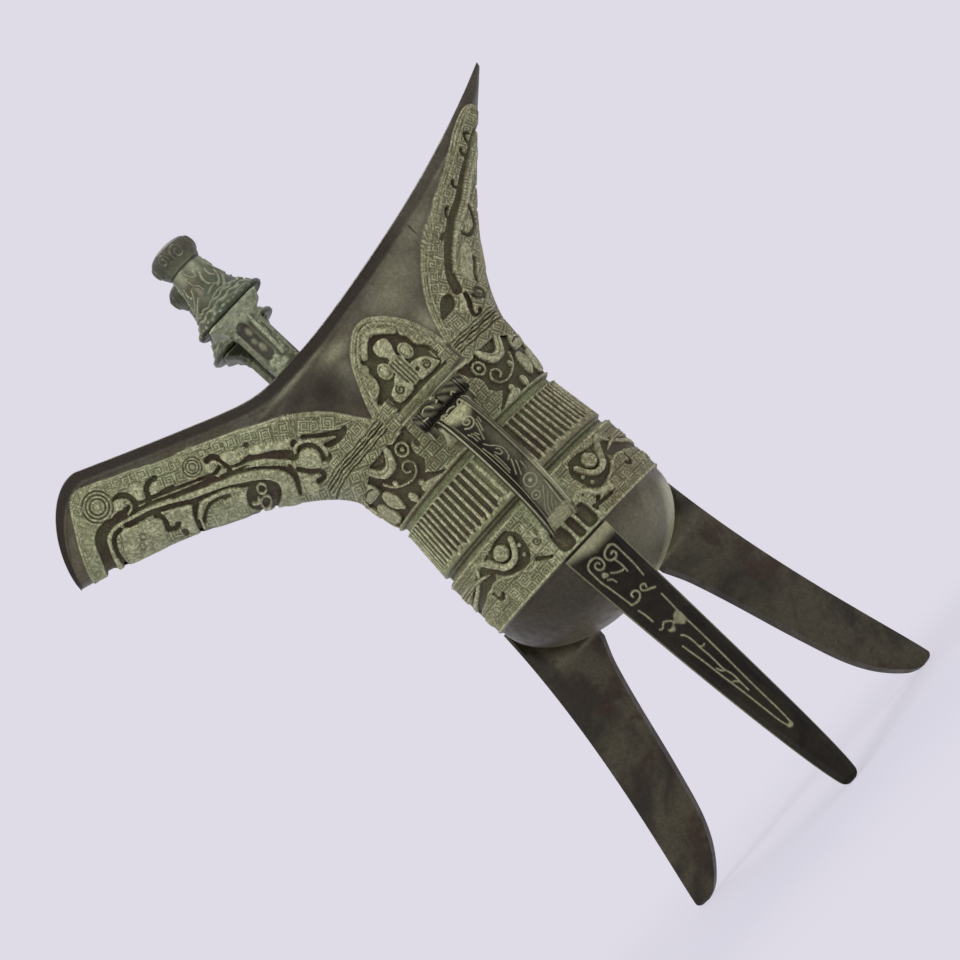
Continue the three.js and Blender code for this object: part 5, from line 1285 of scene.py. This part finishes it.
def drawStrap(s, length):
    a, b = s["a"], s["b"]
    railFoot = strap["width"] / 2 - strap["railWidth"]
    s["height"] = strap["railHeight"] * smooth(railFoot - 0.2, railFoot + 0.15, np.abs(a))
    stroke(s, [(-4.5, 0), (-4.5, length)], 0.36, height=0.7, dome=0.1, straight=True, soft=0.15, pale=0.8)
    stroke(s, [(-3.3, 8), (-3.15, 14), (-3, 20), (-2.9, 30), (-3.1, 38), (-3.2, 45)], 0.3, height=0.3, soft=0.15,
           pale=0.5)
    cut(s, [(-3.9, 3), (-3.8, 20), (-3.8, 46)], 0.4, 0.15, height=0.45, straight=True)
    stroke(s, [(4.4, 0), (4.4, 30)], 0.35, height=0.7, dome=0.05, straight=True, soft=0.15, pale=0.22)
    stroke(s, [(4.4, 29), (4.3, 36), (4.2, 46)], 0.5, height=0.7, dome=0.1, soft=0.15, pale=0.95)
    stroke(s, [(2.9, 35), (2.6, 39), (2.4, 45)], 0.4, height=0.25, soft=0.15, pale=0.6)
    line = {"height": 0.22, "dome": 0.1, "soft": 0.15, "pale": 0.38}
    # scroll of the forehead and the feathering below it
    curl(s, (0.1, 11.2), 2.0, 1.5, 150, 0.45, -1, 0.2, **line)
    for points in (
        [(-2.3, 13.8), (-1.9, 15), (-1.9, 16.4)], [(-1.6, 14.2), (-1.1, 15.2), (-1.2, 16.6)],
        [(-0.8, 14.6), (-0.4, 15.6)], [(1.3, 13), (0.8, 14.4), (0.2, 15.8), (-0.4, 17.2)],
        [(2.1, 12.6), (1.6, 14.2), (1, 15.6)], [(2.8, 12.4), (2.4, 13.8)],
        [(-1.4, 18), (-0.6, 19.3), (0.5, 20.4), (1.2, 22), (0.9, 23.8), (0, 24.6)],
        [(-1, 21.2), (-0.5, 22.3), (0.3, 22.4), (0.5, 21.4), (-0.1, 20.8)],
        [(-2.4, 18.6), (-2.1, 21), (-2, 24), (-2.1, 27)], [(-1.5, 21.5), (-1.4, 24), (-1.6, 26.6)],
        [(0.6, 25), (-0.2, 26.6), (-1.2, 28.4)], [(1.2, 26), (0.5, 27.6), (-0.4, 29.4)], [(1.9, 27), (1.7, 29)],
        [(1.7, 35.6), (0.4, 37.4), (-0.9, 39.6), (-2, 41.6), (-2.3, 43.6)],
        [(1.5, 37.8), (0.2, 39.6), (-1, 41.6), (-1.4, 43.8)],
        [(1.6, 39.8), (0.5, 41.4), (-0.3, 43.4)], [(1.4, 42), (0.8, 43.8)],
    ):
        stroke(s, points, 0.3, **line)
    ring(s, (0.3, 32), 1.75, 0.4, **line)
    dot(s, (0.2, 32), 0.6, height=0.2, pale=0.5)
    ring(s, (-1.3, 36), 1.15, 0.45, **line)
    dot(s, (-1.3, 36), 0.35, height=0.2, pale=0.6)
    # pale where it leaves the head and where it meets the bowl
    glow = np.maximum(1 - smooth(8.4, 12.5, b + 0.6 * np.abs(a - 0.5)), smooth(43.6, 45.6, b + 0.3 * np.sin(3 * a)))
    # greener down its right side
    greenAndSheen = 0.36 * smooth(27, 33, b + 0.8 * a) * smooth(-3.6, -1.5, a)
    # and a painted sheen in the middle of the strap
    greenAndSheen = np.maximum(greenAndSheen, 0.2 * np.exp(-((a - 2.2) / 2.2) ** 2 - ((b - 22) / 7) ** 2))
    s["pale"] = np.maximum(s["pale"], np.maximum(glow * (np.abs(a) < 3.6), greenAndSheen))
    s["bare"] = 1 - 0.8 * glow


def makeStrap():
    reach, z = bezier(strap["line"], evenly(strap["line"], strap["columns"])).T
    along = runLength(np.stack([reach, z], -1))
    bend = np.stack([np.gradient(reach), np.gradient(z)])
    bend /= np.linalg.norm(bend, axis=0)
    half, thick = strap["width"] / 2, strap["thickness"] / 2
    back = [(half, 0.9), (half, -1.1), (half - 0.4, -thick)]
    rows = [(x, thick) for x in np.linspace(-1, 1, strap["faceRows"]) * half]
    rows += back + [(0, -thick)] + [(-x, out) for x, out in back[::-1]] + rows[:1]
    spots = np.array([np.stack([0 * z + x, out * bend[1] - reach, z + out * bend[0]], -1) for x, out in rows])
    face = spots[:strap["faceRows"]]
    s = newSheet(face[..., 0], along)
    drawStrap(s, along[-1])
    core = np.broadcast_to(np.stack([0 * z, -reach, z], -1), face.shape)
    finishPiece(skinMesh(spots, s, False, core), "strapSkin", ["handle_strap"], "dark_bronze", 50)


makeStrap()
print("strap made")

# Animal head: brow, muzzle, horns lying as rolls across it and ears at its sides
head = {
    "side": [(28.6, 131.2), (40, 131.2), (43.8, 133.1), (43.8, 136.1), (41, 137.7), (40.8, 139.6), (38, 142.3),
             (28.6, 142.3)],
    "middle": (35.0, 137.0), "halfWidth": 6.2, "rows": 84, "columns": 170,
    "hornRadius": 2.5, "hornZ": 140.0, "hornReach": 38.9, "hornInner": 0.2, "hornOuter": 8.3,
    "earRadius": 2.25, "earZ": 136.85, "earReach": 37.0, "earOut": 8.05,
    "unroll": 2.5,    # mm across the sheet of a horn or ear for one radian
}


def drawHead(s):
    line = {"height": 0.16, "dome": 0.12, "soft": 0.14, "pale": 0.7, "bare": 0.3}
    s["bare"][:] = 1
    cut(s, [(-5.6, 138.1), (5.6, 138.1)], 1.0, 0.3, straight=True, soft=0.25)
    for points in (
        [(2.2, 136.1), (2.9, 136.9), (3.8, 136.9), (4.3, 136.2)], [(-3.4, 136.6), (-2.4, 137), (-1.4, 136.5)],
        [(-1, 136.9), (0.2, 137.1), (1.4, 136.6)], [(4.6, 137), (5.3, 136.1), (5.6, 134.8)],
        [(-4.6, 135), (-4.2, 133), (-4.1, 131.4)], [(3.2, 135.2), (2.5, 134.4)],
    ):
        stroke(s, points, 0.42, **line)
    curl(s, (-2.6, 136.4), 0.8, 1.2, 20, 0.35, 1, 0.3, **line)
    s["pale"] = np.maximum(s["pale"], 0.8 * (1 - smooth(134.4, 135.8, s["b"] + 0.3 * np.sin(2.3 * s["a"]))))


def softened(line, reach=3):
    # mean over neighbouring points
    padded = np.pad(line, ((reach, reach), (0, 0)), mode="edge")
    return sum(padded[k:k + len(line)] for k in range(2 * reach + 1)) / (2 * reach + 1)


def makeHead():
    corners = np.array(head["side"], float)
    run = runLength(corners)
    places = np.linspace(0, run[-1], head["columns"])
    side = softened(np.stack([np.interp(places, run, corners[:, k]) for k in (0, 1)], -1))
    middleReach, middleZ = head["middle"]
    rows = []
    # full width at the middle rows, closing over the cheeks with a rounded edge
    for k in np.linspace(-1, 1, head["rows"]):
        shrink = 1 - 0.16 * smooth(0.86, 1.0, abs(k)) ** 2
        line = head["middle"] + (side - head["middle"]) * shrink
        taper = 1 - 0.12 * smooth(38, 44, line[:, 0])
        rows.append(np.stack([k * head["halfWidth"] * taper, -line[:, 0], line[:, 1]], -1))
    spots = np.array(rows)
    # the sheet runs on over the top and bottom, towards the bowl
    fold = side[:, 1] + np.where(side[:, 1] > middleZ, 1, -1) * np.clip(39 - side[:, 0], 0, None)
    s = newSheet(spots[..., 0], fold)
    drawHead(s)
    core = np.broadcast_to([0, -middleReach, middleZ], spots.shape)
    finishPiece(skinMesh(spots, s, False, core), "headSkin", ["handle_animal_head"], "dark_bronze", 60)


def rollMesh(stations, centre, columns, drawing):
    # a roll lying along X: (x, radius) stations from the middle of one end to the middle of the other
    x, radius = np.array(stations, float).T
    turn = np.linspace(0, 2 * np.pi, columns)
    y = centre[0] + radius[:, None] * np.sin(turn)
    z = centre[1] + radius[:, None] * np.cos(turn)
    spots = np.stack(np.broadcast_arrays(x[:, None], y, z), -1)
    s = newSheet(x[:, None], turn * head["unroll"])
    s["bare"][:] = 1
    s["polarR"], s["polarT"] = (field.ravel() for field in np.broadcast_arrays(radius[:, None], turn))
    drawing(s)
    core = np.broadcast_to([x.mean(), *centre], spots.shape)
    return skinMesh(spots, s, False, core)


def drawHorn(s):
    outer = np.abs(s["a"]) > head["hornOuter"] - 0.12
    eye = s["polarR"] / head["hornRadius"]
    # spiral worn into the end face
    spiral = np.cos(2 * np.pi * (2.2 * eye - s["polarT"] / (2 * np.pi)))
    s["pale"] = np.where(outer, 0.55 * smooth(0.55, 0.95, spiral) * (eye < 0.9), s["pale"])
    s["height"] = np.where(outer, 0.06 * spiral * (eye < 0.9), s["height"])
    # ring grooves round the roll, near its end
    for x in (6.0, 6.8):
        for way in (-1, 1):
            near = np.exp(-((s["a"] - way * x) / 0.22) ** 2)
            s["height"] -= 0.2 * near * ~outer
            s["dark"] = np.maximum(s["dark"], 0.8 * near * ~outer)
    # slanting hollows, and a painted highlight, patchy like wear, on the side of the roll where the light falls
    wearAndLight = smooth(0.4, 1.0, np.cos(s["polarT"] - 5.2)) * ~outer * (0.5 + 0.5 * np.sin(2.1 * s["a"] + 2 * s["b"]))
    s["pale"] = np.maximum(s["pale"], 0.25 * wearAndLight)
    s["height"] += 0.12 * np.sin(1.7 * s["a"]) * np.sin(1.3 * s["b"]) * ~outer
    # pale arch and short lines on the front
    for points in ([(-5.2, 13.4), (-4.2, 14.1), (-3, 13.6), (-2.3, 12.2)], [(-6.6, 11.6), (-5.2, 11.3)],
                   [(3.2, 11.2), (3.9, 11.6), (4.3, 11)], [(-0.9, 12.6), (-0.2, 13.1)]):
        stroke(s, points, 0.4, height=0.1, dome=0.1, soft=0.14, pale=0.75, bare=0.4)


def makeHorns():
    inner, outer, radius = head["hornInner"], head["hornOuter"], head["hornRadius"]
    ends = [(outer, k * radius) for k in np.linspace(0, 0.86, 22)] + [(outer, 0.93 * radius), (outer - 0.2, radius)]
    long = [(x, radius) for x in np.linspace(outer - 0.35, inner + 0.5, 52)]
    close = [(inner + 0.15, 0.96 * radius), (inner, 0.85 * radius), (inner, 0)]
    for name, way in (("hornLeftSkin", -1), ("hornRightSkin", 1)):
        stations = [(way * x, r) for x, r in ends + long + close]
        bm = rollMesh(stations, (-head["hornReach"], head["hornZ"]), 97, drawHorn)
        finishPiece(bm, name, ["handle_animal_head"], "dark_bronze", 50)


def drawEar(s):
    # a boss in a round hollow, inside a raised rim
    eye = s["polarR"] / head["earRadius"]
    rim = np.exp(-((eye - 0.78) / 0.16) ** 2)
    boss = np.exp(-(eye / 0.3) ** 2)
    s["height"] = 0.3 * rim + 0.2 * boss - 0.2
    # the raised rim is pale on one side only: a painted highlight
    s["pale"] = 0.95 * rim * smooth(-0.3, 0.9, np.cos(s["polarT"] + 2.3)) + 0.3 * boss
    s["dark"] = 0.8 * np.exp(-((eye - 0.45) / 0.12) ** 2)


def makeEars():
    outer, radius = head["earOut"], head["earRadius"]
    dome = [(outer - 0.9 * (1 - math.sqrt(1 - (0.96 * k) ** 2)), k * radius) for k in np.linspace(0, 1, 40)]
    root = [(outer - 1.4, radius * 0.97), (5.6, radius * 0.9), (5.6, 0)]
    for name, way in (("earLeftSkin", -1), ("earRightSkin", 1)):
        stations = [(way * x, r) for x, r in dome + root]
        bm = rollMesh(stations, (-head["earReach"], head["earZ"]), 73, drawEar)
        finishPiece(bm, name, ["handle_animal_head"], "dark_bronze", 60)


makeHead()
makeHorns()
makeEars()
print("animal head made")

# Posts: square, with chamfered corners and a flared head under the cap
post = {
    "x": -18.4, "y": 22.62, "footZ": 170.93, "topZ": 197.33, "tenonHalf": 3.0, "tenonTopZ": 203.3,
    # height and half width
    "profile": [(170.93, 3.45), (171.7, 3.6), (172.1, 4.35), (191.2, 4.4), (193.2, 4.9), (195.1, 6.2), (196.3, 7.9),
                (196.9, 8.5), (197.3, 8.4)],
    "chamfer": 0.9, "unroll": 40, "faceRows": 38,   # unroll: from one face to the next on the sheet
}


def drawPostFace(s, k, front):
    # k: the middle of this face on the unrolled sheet
    cut(s, [(k - 1.6, 182.6), (k - 1.7, 187), (k - 1.6, 192)], 3.2, 0.35, dark=0.55, bare=1, soft=0.35)
    # raised lines: much paler on the front face of the front post, a painted highlight
    for width, points in (
        (0.7, [(k - 3.9, 171.5), (k - 4, 180), (k - 3.9, 191), (k - 4.6, 194.5)]),
        (0.9, [(k + 1.4, 180.6), (k + 1.7, 184), (k + 1.8, 188), (k + 2, 193.4)]),
        (0.45, [(k + 3.6, 172), (k + 3.7, 182), (k + 3.7, 192)]),
    ):
        stroke(s, points, width, height=0.16, dome=0.14, soft=0.25, pale=0.85 if front else 0.35)
    # worn dots in the sunk panel, and crumbs of patina at its foot
    for z, r in ((190.4, 0.8), (187.6, 0.6), (185, 0.9)):
        dot(s, (k - 1.4 + 0.5 * math.sin(z), z), r, 1.5, height=-0.2, dome=0.1, pale=0.3, bare=0.8, soft=0.6)
    if front:
        for a, z, r in (
            (-2.4, 179.8, 1.1), (-1.6, 178.3, 1.3), (-0.9, 180.6, 0.8), (-3, 177.3, 0.8), (0.3, 178.6, 0.7),
        ):
            dot(s, (k + a, z), r, 1.2, height=0.05, dome=0.18, pale=0.75, soft=0.5)
    # small pits and grains down the right-hand strip
    for n in range(16):
        place = (k + 2.7 + 0.4 * math.sin(5.1 * n), 172.6 + 1.27 * n)
        dot(s, place, 0.4 + 0.2 * math.cos(3.7 * n), 1.4, height=0.05, dome=0.12, soft=0.3,
            pale=0.3 + 0.25 * math.sin(2.3 * n))


def finishOnRim(bm, name, way, sharpAngle):
    bmesh.ops.translate(bm, verts=bm.verts, vec=(post["x"], -way * post["y"], 0))
    bmesh.ops.recalc_face_normals(bm, faces=bm.faces)
    finishPiece(bm, name + "Skin", [name], "post_bronze", sharpAngle)


def makePost(name, way):
    # way: 1 on the handle's side, -1 on the other
    z = levels((post["footZ"], 190.5, 110), (190.6, post["topZ"], 80))   # closer together in the flared head
    half = softened(np.interp(z, *np.array(post["profile"]).T)[:, None])[:, 0]
    corner = post["chamfer"] * np.interp(z, [192, 197], [1, 2])
    rows, places = [], []
    for side in range(4):
        cosA, sinA = math.cos(side * np.pi / 2), math.sin(side * np.pi / 2)
        for k in np.linspace(-1, 1, post["faceRows"]):
            u = k * (half - corner)
            rows.append(np.stack([u * cosA + half * sinA, u * sinA - half * cosA, z], -1))
            places.append(u + post["unroll"] * side)
    spots = np.array(rows + rows[:1])
    s = newSheet(np.array(places + places[:1]), z)
    s["bare"][:] = 1
    for side in range(4):
        drawPostFace(s, post["unroll"] * side, side == 0 and way > 0)
    # pale flared head: paler patina there, with a painted highlight that is strong on the front post and faint on
    # the back one
    glow = smooth(191.8, 194.6, s["b"] + 0.35 * np.sin(1.9 * s["a"])) * (0.95 if way > 0 else 0.12)
    s["pale"] = np.maximum(s["pale"], glow)
    s["bare"] = np.minimum(s["bare"], 1 - 0.6 * glow)
    bm = skinMesh(spots, s, False, np.broadcast_to(np.stack([0 * z, 0 * z, z], -1), spots.shape))
    # the tenon that goes up into the cap
    top = [f for f in bm.faces if all(abs(v.co.z - post["topZ"]) < 0.01 for v in f.verts)]
    bmesh.ops.inset_region(bm, faces=top, thickness=post["profile"][-1][1] - post["tenonHalf"] - 1.2)
    grown = bmesh.ops.extrude_face_region(bm, geom=top)
    raised = [v for v in grown["geom"] if isinstance(v, bmesh.types.BMVert)]
    bmesh.ops.translate(bm, verts=raised, vec=(0, 0, post["tenonTopZ"] - post["topZ"]))
    bmesh.ops.delete(bm, geom=[f for f in top if f.is_valid], context="FACES")
    finishOnRim(bm, name, way, 35)


makePost("post_front", 1)
makePost("post_back", -1)
print("posts made")

# Caps: bell with a rolled brim, a bead row, leaf strokes and a knob
cap = {
    "footZ": 197.63, "brim": 10.25, "roll": 0.95, "socket": 4.4, "socketTop": 6.2, "beads": 44,
    # (radius, height) along the outside: bell, knob and its rounded top
    "bell": [(9.3, 2.9), (7.2, 5.6), (5.2, 9.4), (5.15, 16.8)],
    "knob": [(5.15, 16.8), (5.4, 18.2), (6.6, 19), (6.65, 21.4)],
    "dome": [(6.65, 21.4), (6.7, 24), (4.4, 24.9), (0, 24.9)],
    "columns": 217, "unroll": 8.0,    # mm across the sheet for one radian
}


def capProfile():
    # from the middle of the socket, round the brim and up to the top of the knob
    inside = [(0, cap["socketTop"]), (cap["socket"], cap["socketTop"]), (cap["socket"], 0.02)]
    turn = np.linspace(-np.pi / 2, np.pi * 0.55, 20)
    brim = [(cap["brim"] + cap["roll"] * math.cos(t), cap["roll"] * (1 + math.sin(t))) for t in turn]
    bell = bezier(cap["bell"], np.linspace(0, 1, 70))
    knob = bezier(cap["knob"], np.linspace(0, 1, 22)[1:])
    dome = bezier(cap["dome"], np.linspace(0, 1, 34)[1:])
    return inside, np.vstack([brim, bell, knob, dome])


def drawCap(s, way):
    s["bare"][:] = 1
    line = {"height": 0.2, "dome": 0.2, "soft": 0.25, "pale": 0.28, "bare": 0.7}
    step = math.pi * cap["unroll"] / 2   # a quarter of the way round
    # bead row round the brim
    for n in range(cap["beads"]):
        place = ((n + 0.5) / cap["beads"] * 4 * step - 2 * step, 1.1 + 0.35 * math.sin(9 * n))
        dot(s, place, 0.36 + 0.1 * math.sin(4 * n), 1.1, height=0.05, dome=0.25, soft=0.16,
            pale=0.3 + 0.3 * math.sin(6 * n), bare=0.4)
    for z, swing in ((3.1, 0.25), (4.5, 0.35)):
        waves = [(a, z + swing * math.sin(1.7 * a + z)) for a in np.linspace(-2 * step, 2 * step, 61)]
        stroke(s, waves, 0.5, **{**line, "pale": 0.35})
    # leaf strokes, drips and hooks round the bell, once in each quarter
    for k in range(-2, 3):
        a = k * step
        for width, points in (
            ((1.3, 0.5), [(a - 9.6, 4.9), (a - 8, 6), (a - 6.4, 7.2), (a - 4.8, 8.2)]),
            ((0.5, 0.9), [(a - 10, 6.6), (a - 8, 7.6), (a - 6, 9.4), (a - 5, 10.8)]),
            (0.6, [(a - 1, 5.2), (a + 1.6, 5.6), (a + 4.2, 5.2), (a + 6.6, 4.3)]),
            (0.55, [(a - 0.8, 7), (a + 1.8, 7.6), (a + 4, 6.9)]),
            ((0.9, 0.3), [(a + 2.4, 12.6), (a + 1.2, 10.8), (a + 1.4, 8.8), (a + 2.8, 7.9)]),
            (0.5, [(a - 3.6, 13.6), (a - 3, 11.6), (a - 1.6, 10.2), (a - 1.4, 8.6)]),
            ((0.4, 0.8), [(a + 5, 12.8), (a + 4.4, 11), (a + 5.4, 9.6)]),
            (0.5, [(a - 2.2, 15), (a - 1.2, 13.4), (a + 0.4, 12.8), (a + 1, 14.2)]),
        ):
            stroke(s, points, width, **line)
    cut(s, [(-2 * step, 16.9), (2 * step, 16.9)], 0.6, 0.2, straight=True, dark=0.6, bare=1)
    # two faint curls in each quarter of the knob
    faint = {**line, "bare": 1}
    for k in range(-2, 3):
        curl(s, (k * step + 2, 20.6), 2.4, 1.3, 200, 0.5, -1, 0.3, **{**faint, "pale": 0.22, "height": 0.12})
        curl(s, (k * step - 3.6, 21.2), 1.9, 1.2, -20, 0.45, 1, 0.3, **{**faint, "pale": 0.16, "height": 0.1})
    # pale band round the upper bell: a painted highlight, much stronger on the front cap than on the back one
    glow = smooth(12, 14.5, s["b"]) * (1 - smooth(15.8, 17.4, s["b"])) * (0.5 + 0.4 * np.sin(0.9 * s["a"]))
    s["pale"] = np.maximum(s["pale"], 0.6 * glow if way > 0 else 0.2 * glow)
    s["dark"] = np.maximum(s["dark"], 0.55 * smooth(18, 20.5, s["b"]))


def makeCap(name, way):
    socket, shell = capProfile()
    turn = np.linspace(-np.pi, np.pi, cap["columns"])

    def spun(profile):
        radius, height = np.array(profile, float).T
        x, y = np.sin(turn) * radius[:, None], -way * np.cos(turn) * radius[:, None]
        return np.stack(np.broadcast_arrays(x, y, (height + cap["footZ"])[:, None]), -1)

    spots = spun([*shell[::-1], *socket[::-1]])
    face = spots[:len(shell)]
    s = newSheet(turn * cap["unroll"], face[..., 2] - cap["footZ"])
    drawCap(s, way)
    bm = skinMesh(spots, s, False, np.broadcast_to([0, 0, cap["footZ"] + 8.0], face.shape))
    finishOnRim(bm, name, way, 60)


makeCap("post_cap_front", 1)
makeCap("post_cap_back", -1)
print("caps made")

# Camera, floor and light
view = {
    "place": (-66.472, -784.475, 67.350),   # mm from the bowl's axis
    "look": (0.07864301, 0.99449011, 0.06931595),
    "turn": 47.053,                          # the photograph lies turned anticlockwise
    "lens": 110.592,
    "background": paint(223, 220, 232),
    "floor": paint(228, 225, 236), "floorShade": paint(225, 225, 237),
    "worldColour": paint(240, 240, 246),
    "worldLight": 0.55,
    "shade": (0.06, 0.24, 0.72),             # on the floor: from, to (m from the axis), share hidden near the cup
    "aim": (0, 0, 0.12),
    # place in metres, size, power and colour
    "lamps": {
        "keyLamp": ((-0.9, -0.9, 1.3), 0.8, 9.0, (1.0, 0.98, 0.95)),
        "fillLamp": ((1.2, -0.8, 0.7), 1.0, 3.0, (0.95, 0.97, 1.0)),
        "topLamp": ((0.2, 0.8, 1.4), 0.8, 5.0, (1, 1, 1)),
    },
}


def makeCamera():
    look = Vector(view["look"]).normalized()
    side = look.cross(Vector((0, 0, 1))).normalized()
    upward = side.cross(look)
    turn = math.radians(view["turn"])
    right = side * math.cos(turn) - upward * math.sin(turn)
    up = upward * math.cos(turn) + side * math.sin(turn)
    data = bpy.data.cameras.new("camera")
    data.lens = view["lens"]
    data.sensor_width = 36
    data.sensor_fit = "HORIZONTAL"
    data.clip_start = 0.01
    camera = bpy.data.objects.new("camera", data)
    matrix = Matrix((right, up, -look)).transposed().to_4x4()
    matrix.translation = toFrame @ Vector(view["place"])
    camera.matrix_world = matrix
    bpy.context.scene.collection.objects.link(camera)
    bpy.context.scene.camera = camera


def seenDirectly(tree):
    # camera, mirror and clear rays see the plain background; the light on the object stays as it is
    path = put(tree, "LightPath").outputs
    seen = maths(tree, "MAXIMUM", path["Is Camera Ray"], path["Is Glossy Ray"])
    return maths(tree, "MAXIMUM", seen, path["Is Transmission Ray"])


def makeFloor():
    bm = bmesh.new()
    bmesh.ops.create_grid(bm, x_segments=24, y_segments=24, size=6)
    mesh = bpy.data.meshes.new("floor")
    bm.to_mesh(mesh)
    bm.free()
    floor = bpy.data.objects.new("floor", mesh)
    bpy.context.scene.collection.objects.link(floor)
    material, tree = newMaterial("paleFloor")
    where = put(tree, "TexCoord").outputs["Object"]
    cloth = noise(tree, where, 900, 3, 0.6)
    colour = mixed(tree, spread(tree, noise(tree, where, 5, 3, 0.5), 0.35, 0.65), view["floor"], view["floorShade"])
    bump = put(tree, "Bump", {"Height": cloth, "Distance": 0.0004, "Strength": 0.5}).outputs[0]
    soft = put(tree, "BsdfDiffuse", {"Color": colour, "Normal": bump}).outputs[0]
    plain = put(tree, "Emission", {"Color": view["background"], "Strength": 1.0}).outputs[0]
    distance = put(tree, "VectorMath", {0: where}, operation="LENGTH").outputs["Value"]
    near, far, hidden = view["shade"]
    share = times(tree, spread(tree, distance, near, far, hidden, 1.0), seenDirectly(tree))
    surface = put(tree, "MixShader", {0: share, 1: soft, 2: plain}).outputs[0]
    put(tree, "OutputMaterial", {"Surface": surface})
    mesh.materials.append(material)


def makeWorld():
    world = bpy.data.worlds.new("studio")
    bpy.context.scene.world = world
    world.use_nodes = True
    tree = world.node_tree
    tree.nodes.clear()
    light = put(tree, "Background", {"Color": view["worldColour"], "Strength": view["worldLight"]}).outputs[0]
    plain = put(tree, "Background", {"Color": view["background"], "Strength": 1.0}).outputs[0]
    surface = put(tree, "MixShader", {0: seenDirectly(tree), 1: light, 2: plain}).outputs[0]
    put(tree, "OutputWorld", {"Surface": surface})


def makeLamp(name, place, size, power, colour):
    data = bpy.data.lights.new(name, "AREA")
    data.shape = "DISK"
    data.size = size
    data.energy = power
    data.color = colour
    lamp = bpy.data.objects.new(name, data)
    lamp.location = place
    aim = Vector(view["aim"]) - Vector(place)
    lamp.rotation_euler = aim.to_track_quat("-Z", "Y").to_euler()
    bpy.context.scene.collection.objects.link(lamp)


makeCamera()
makeFloor()
makeWorld()
for name, settings in view["lamps"].items():
    makeLamp(name, *settings)
bpy.context.scene.view_settings.view_transform = "Standard"
print("camera, floor and light made")
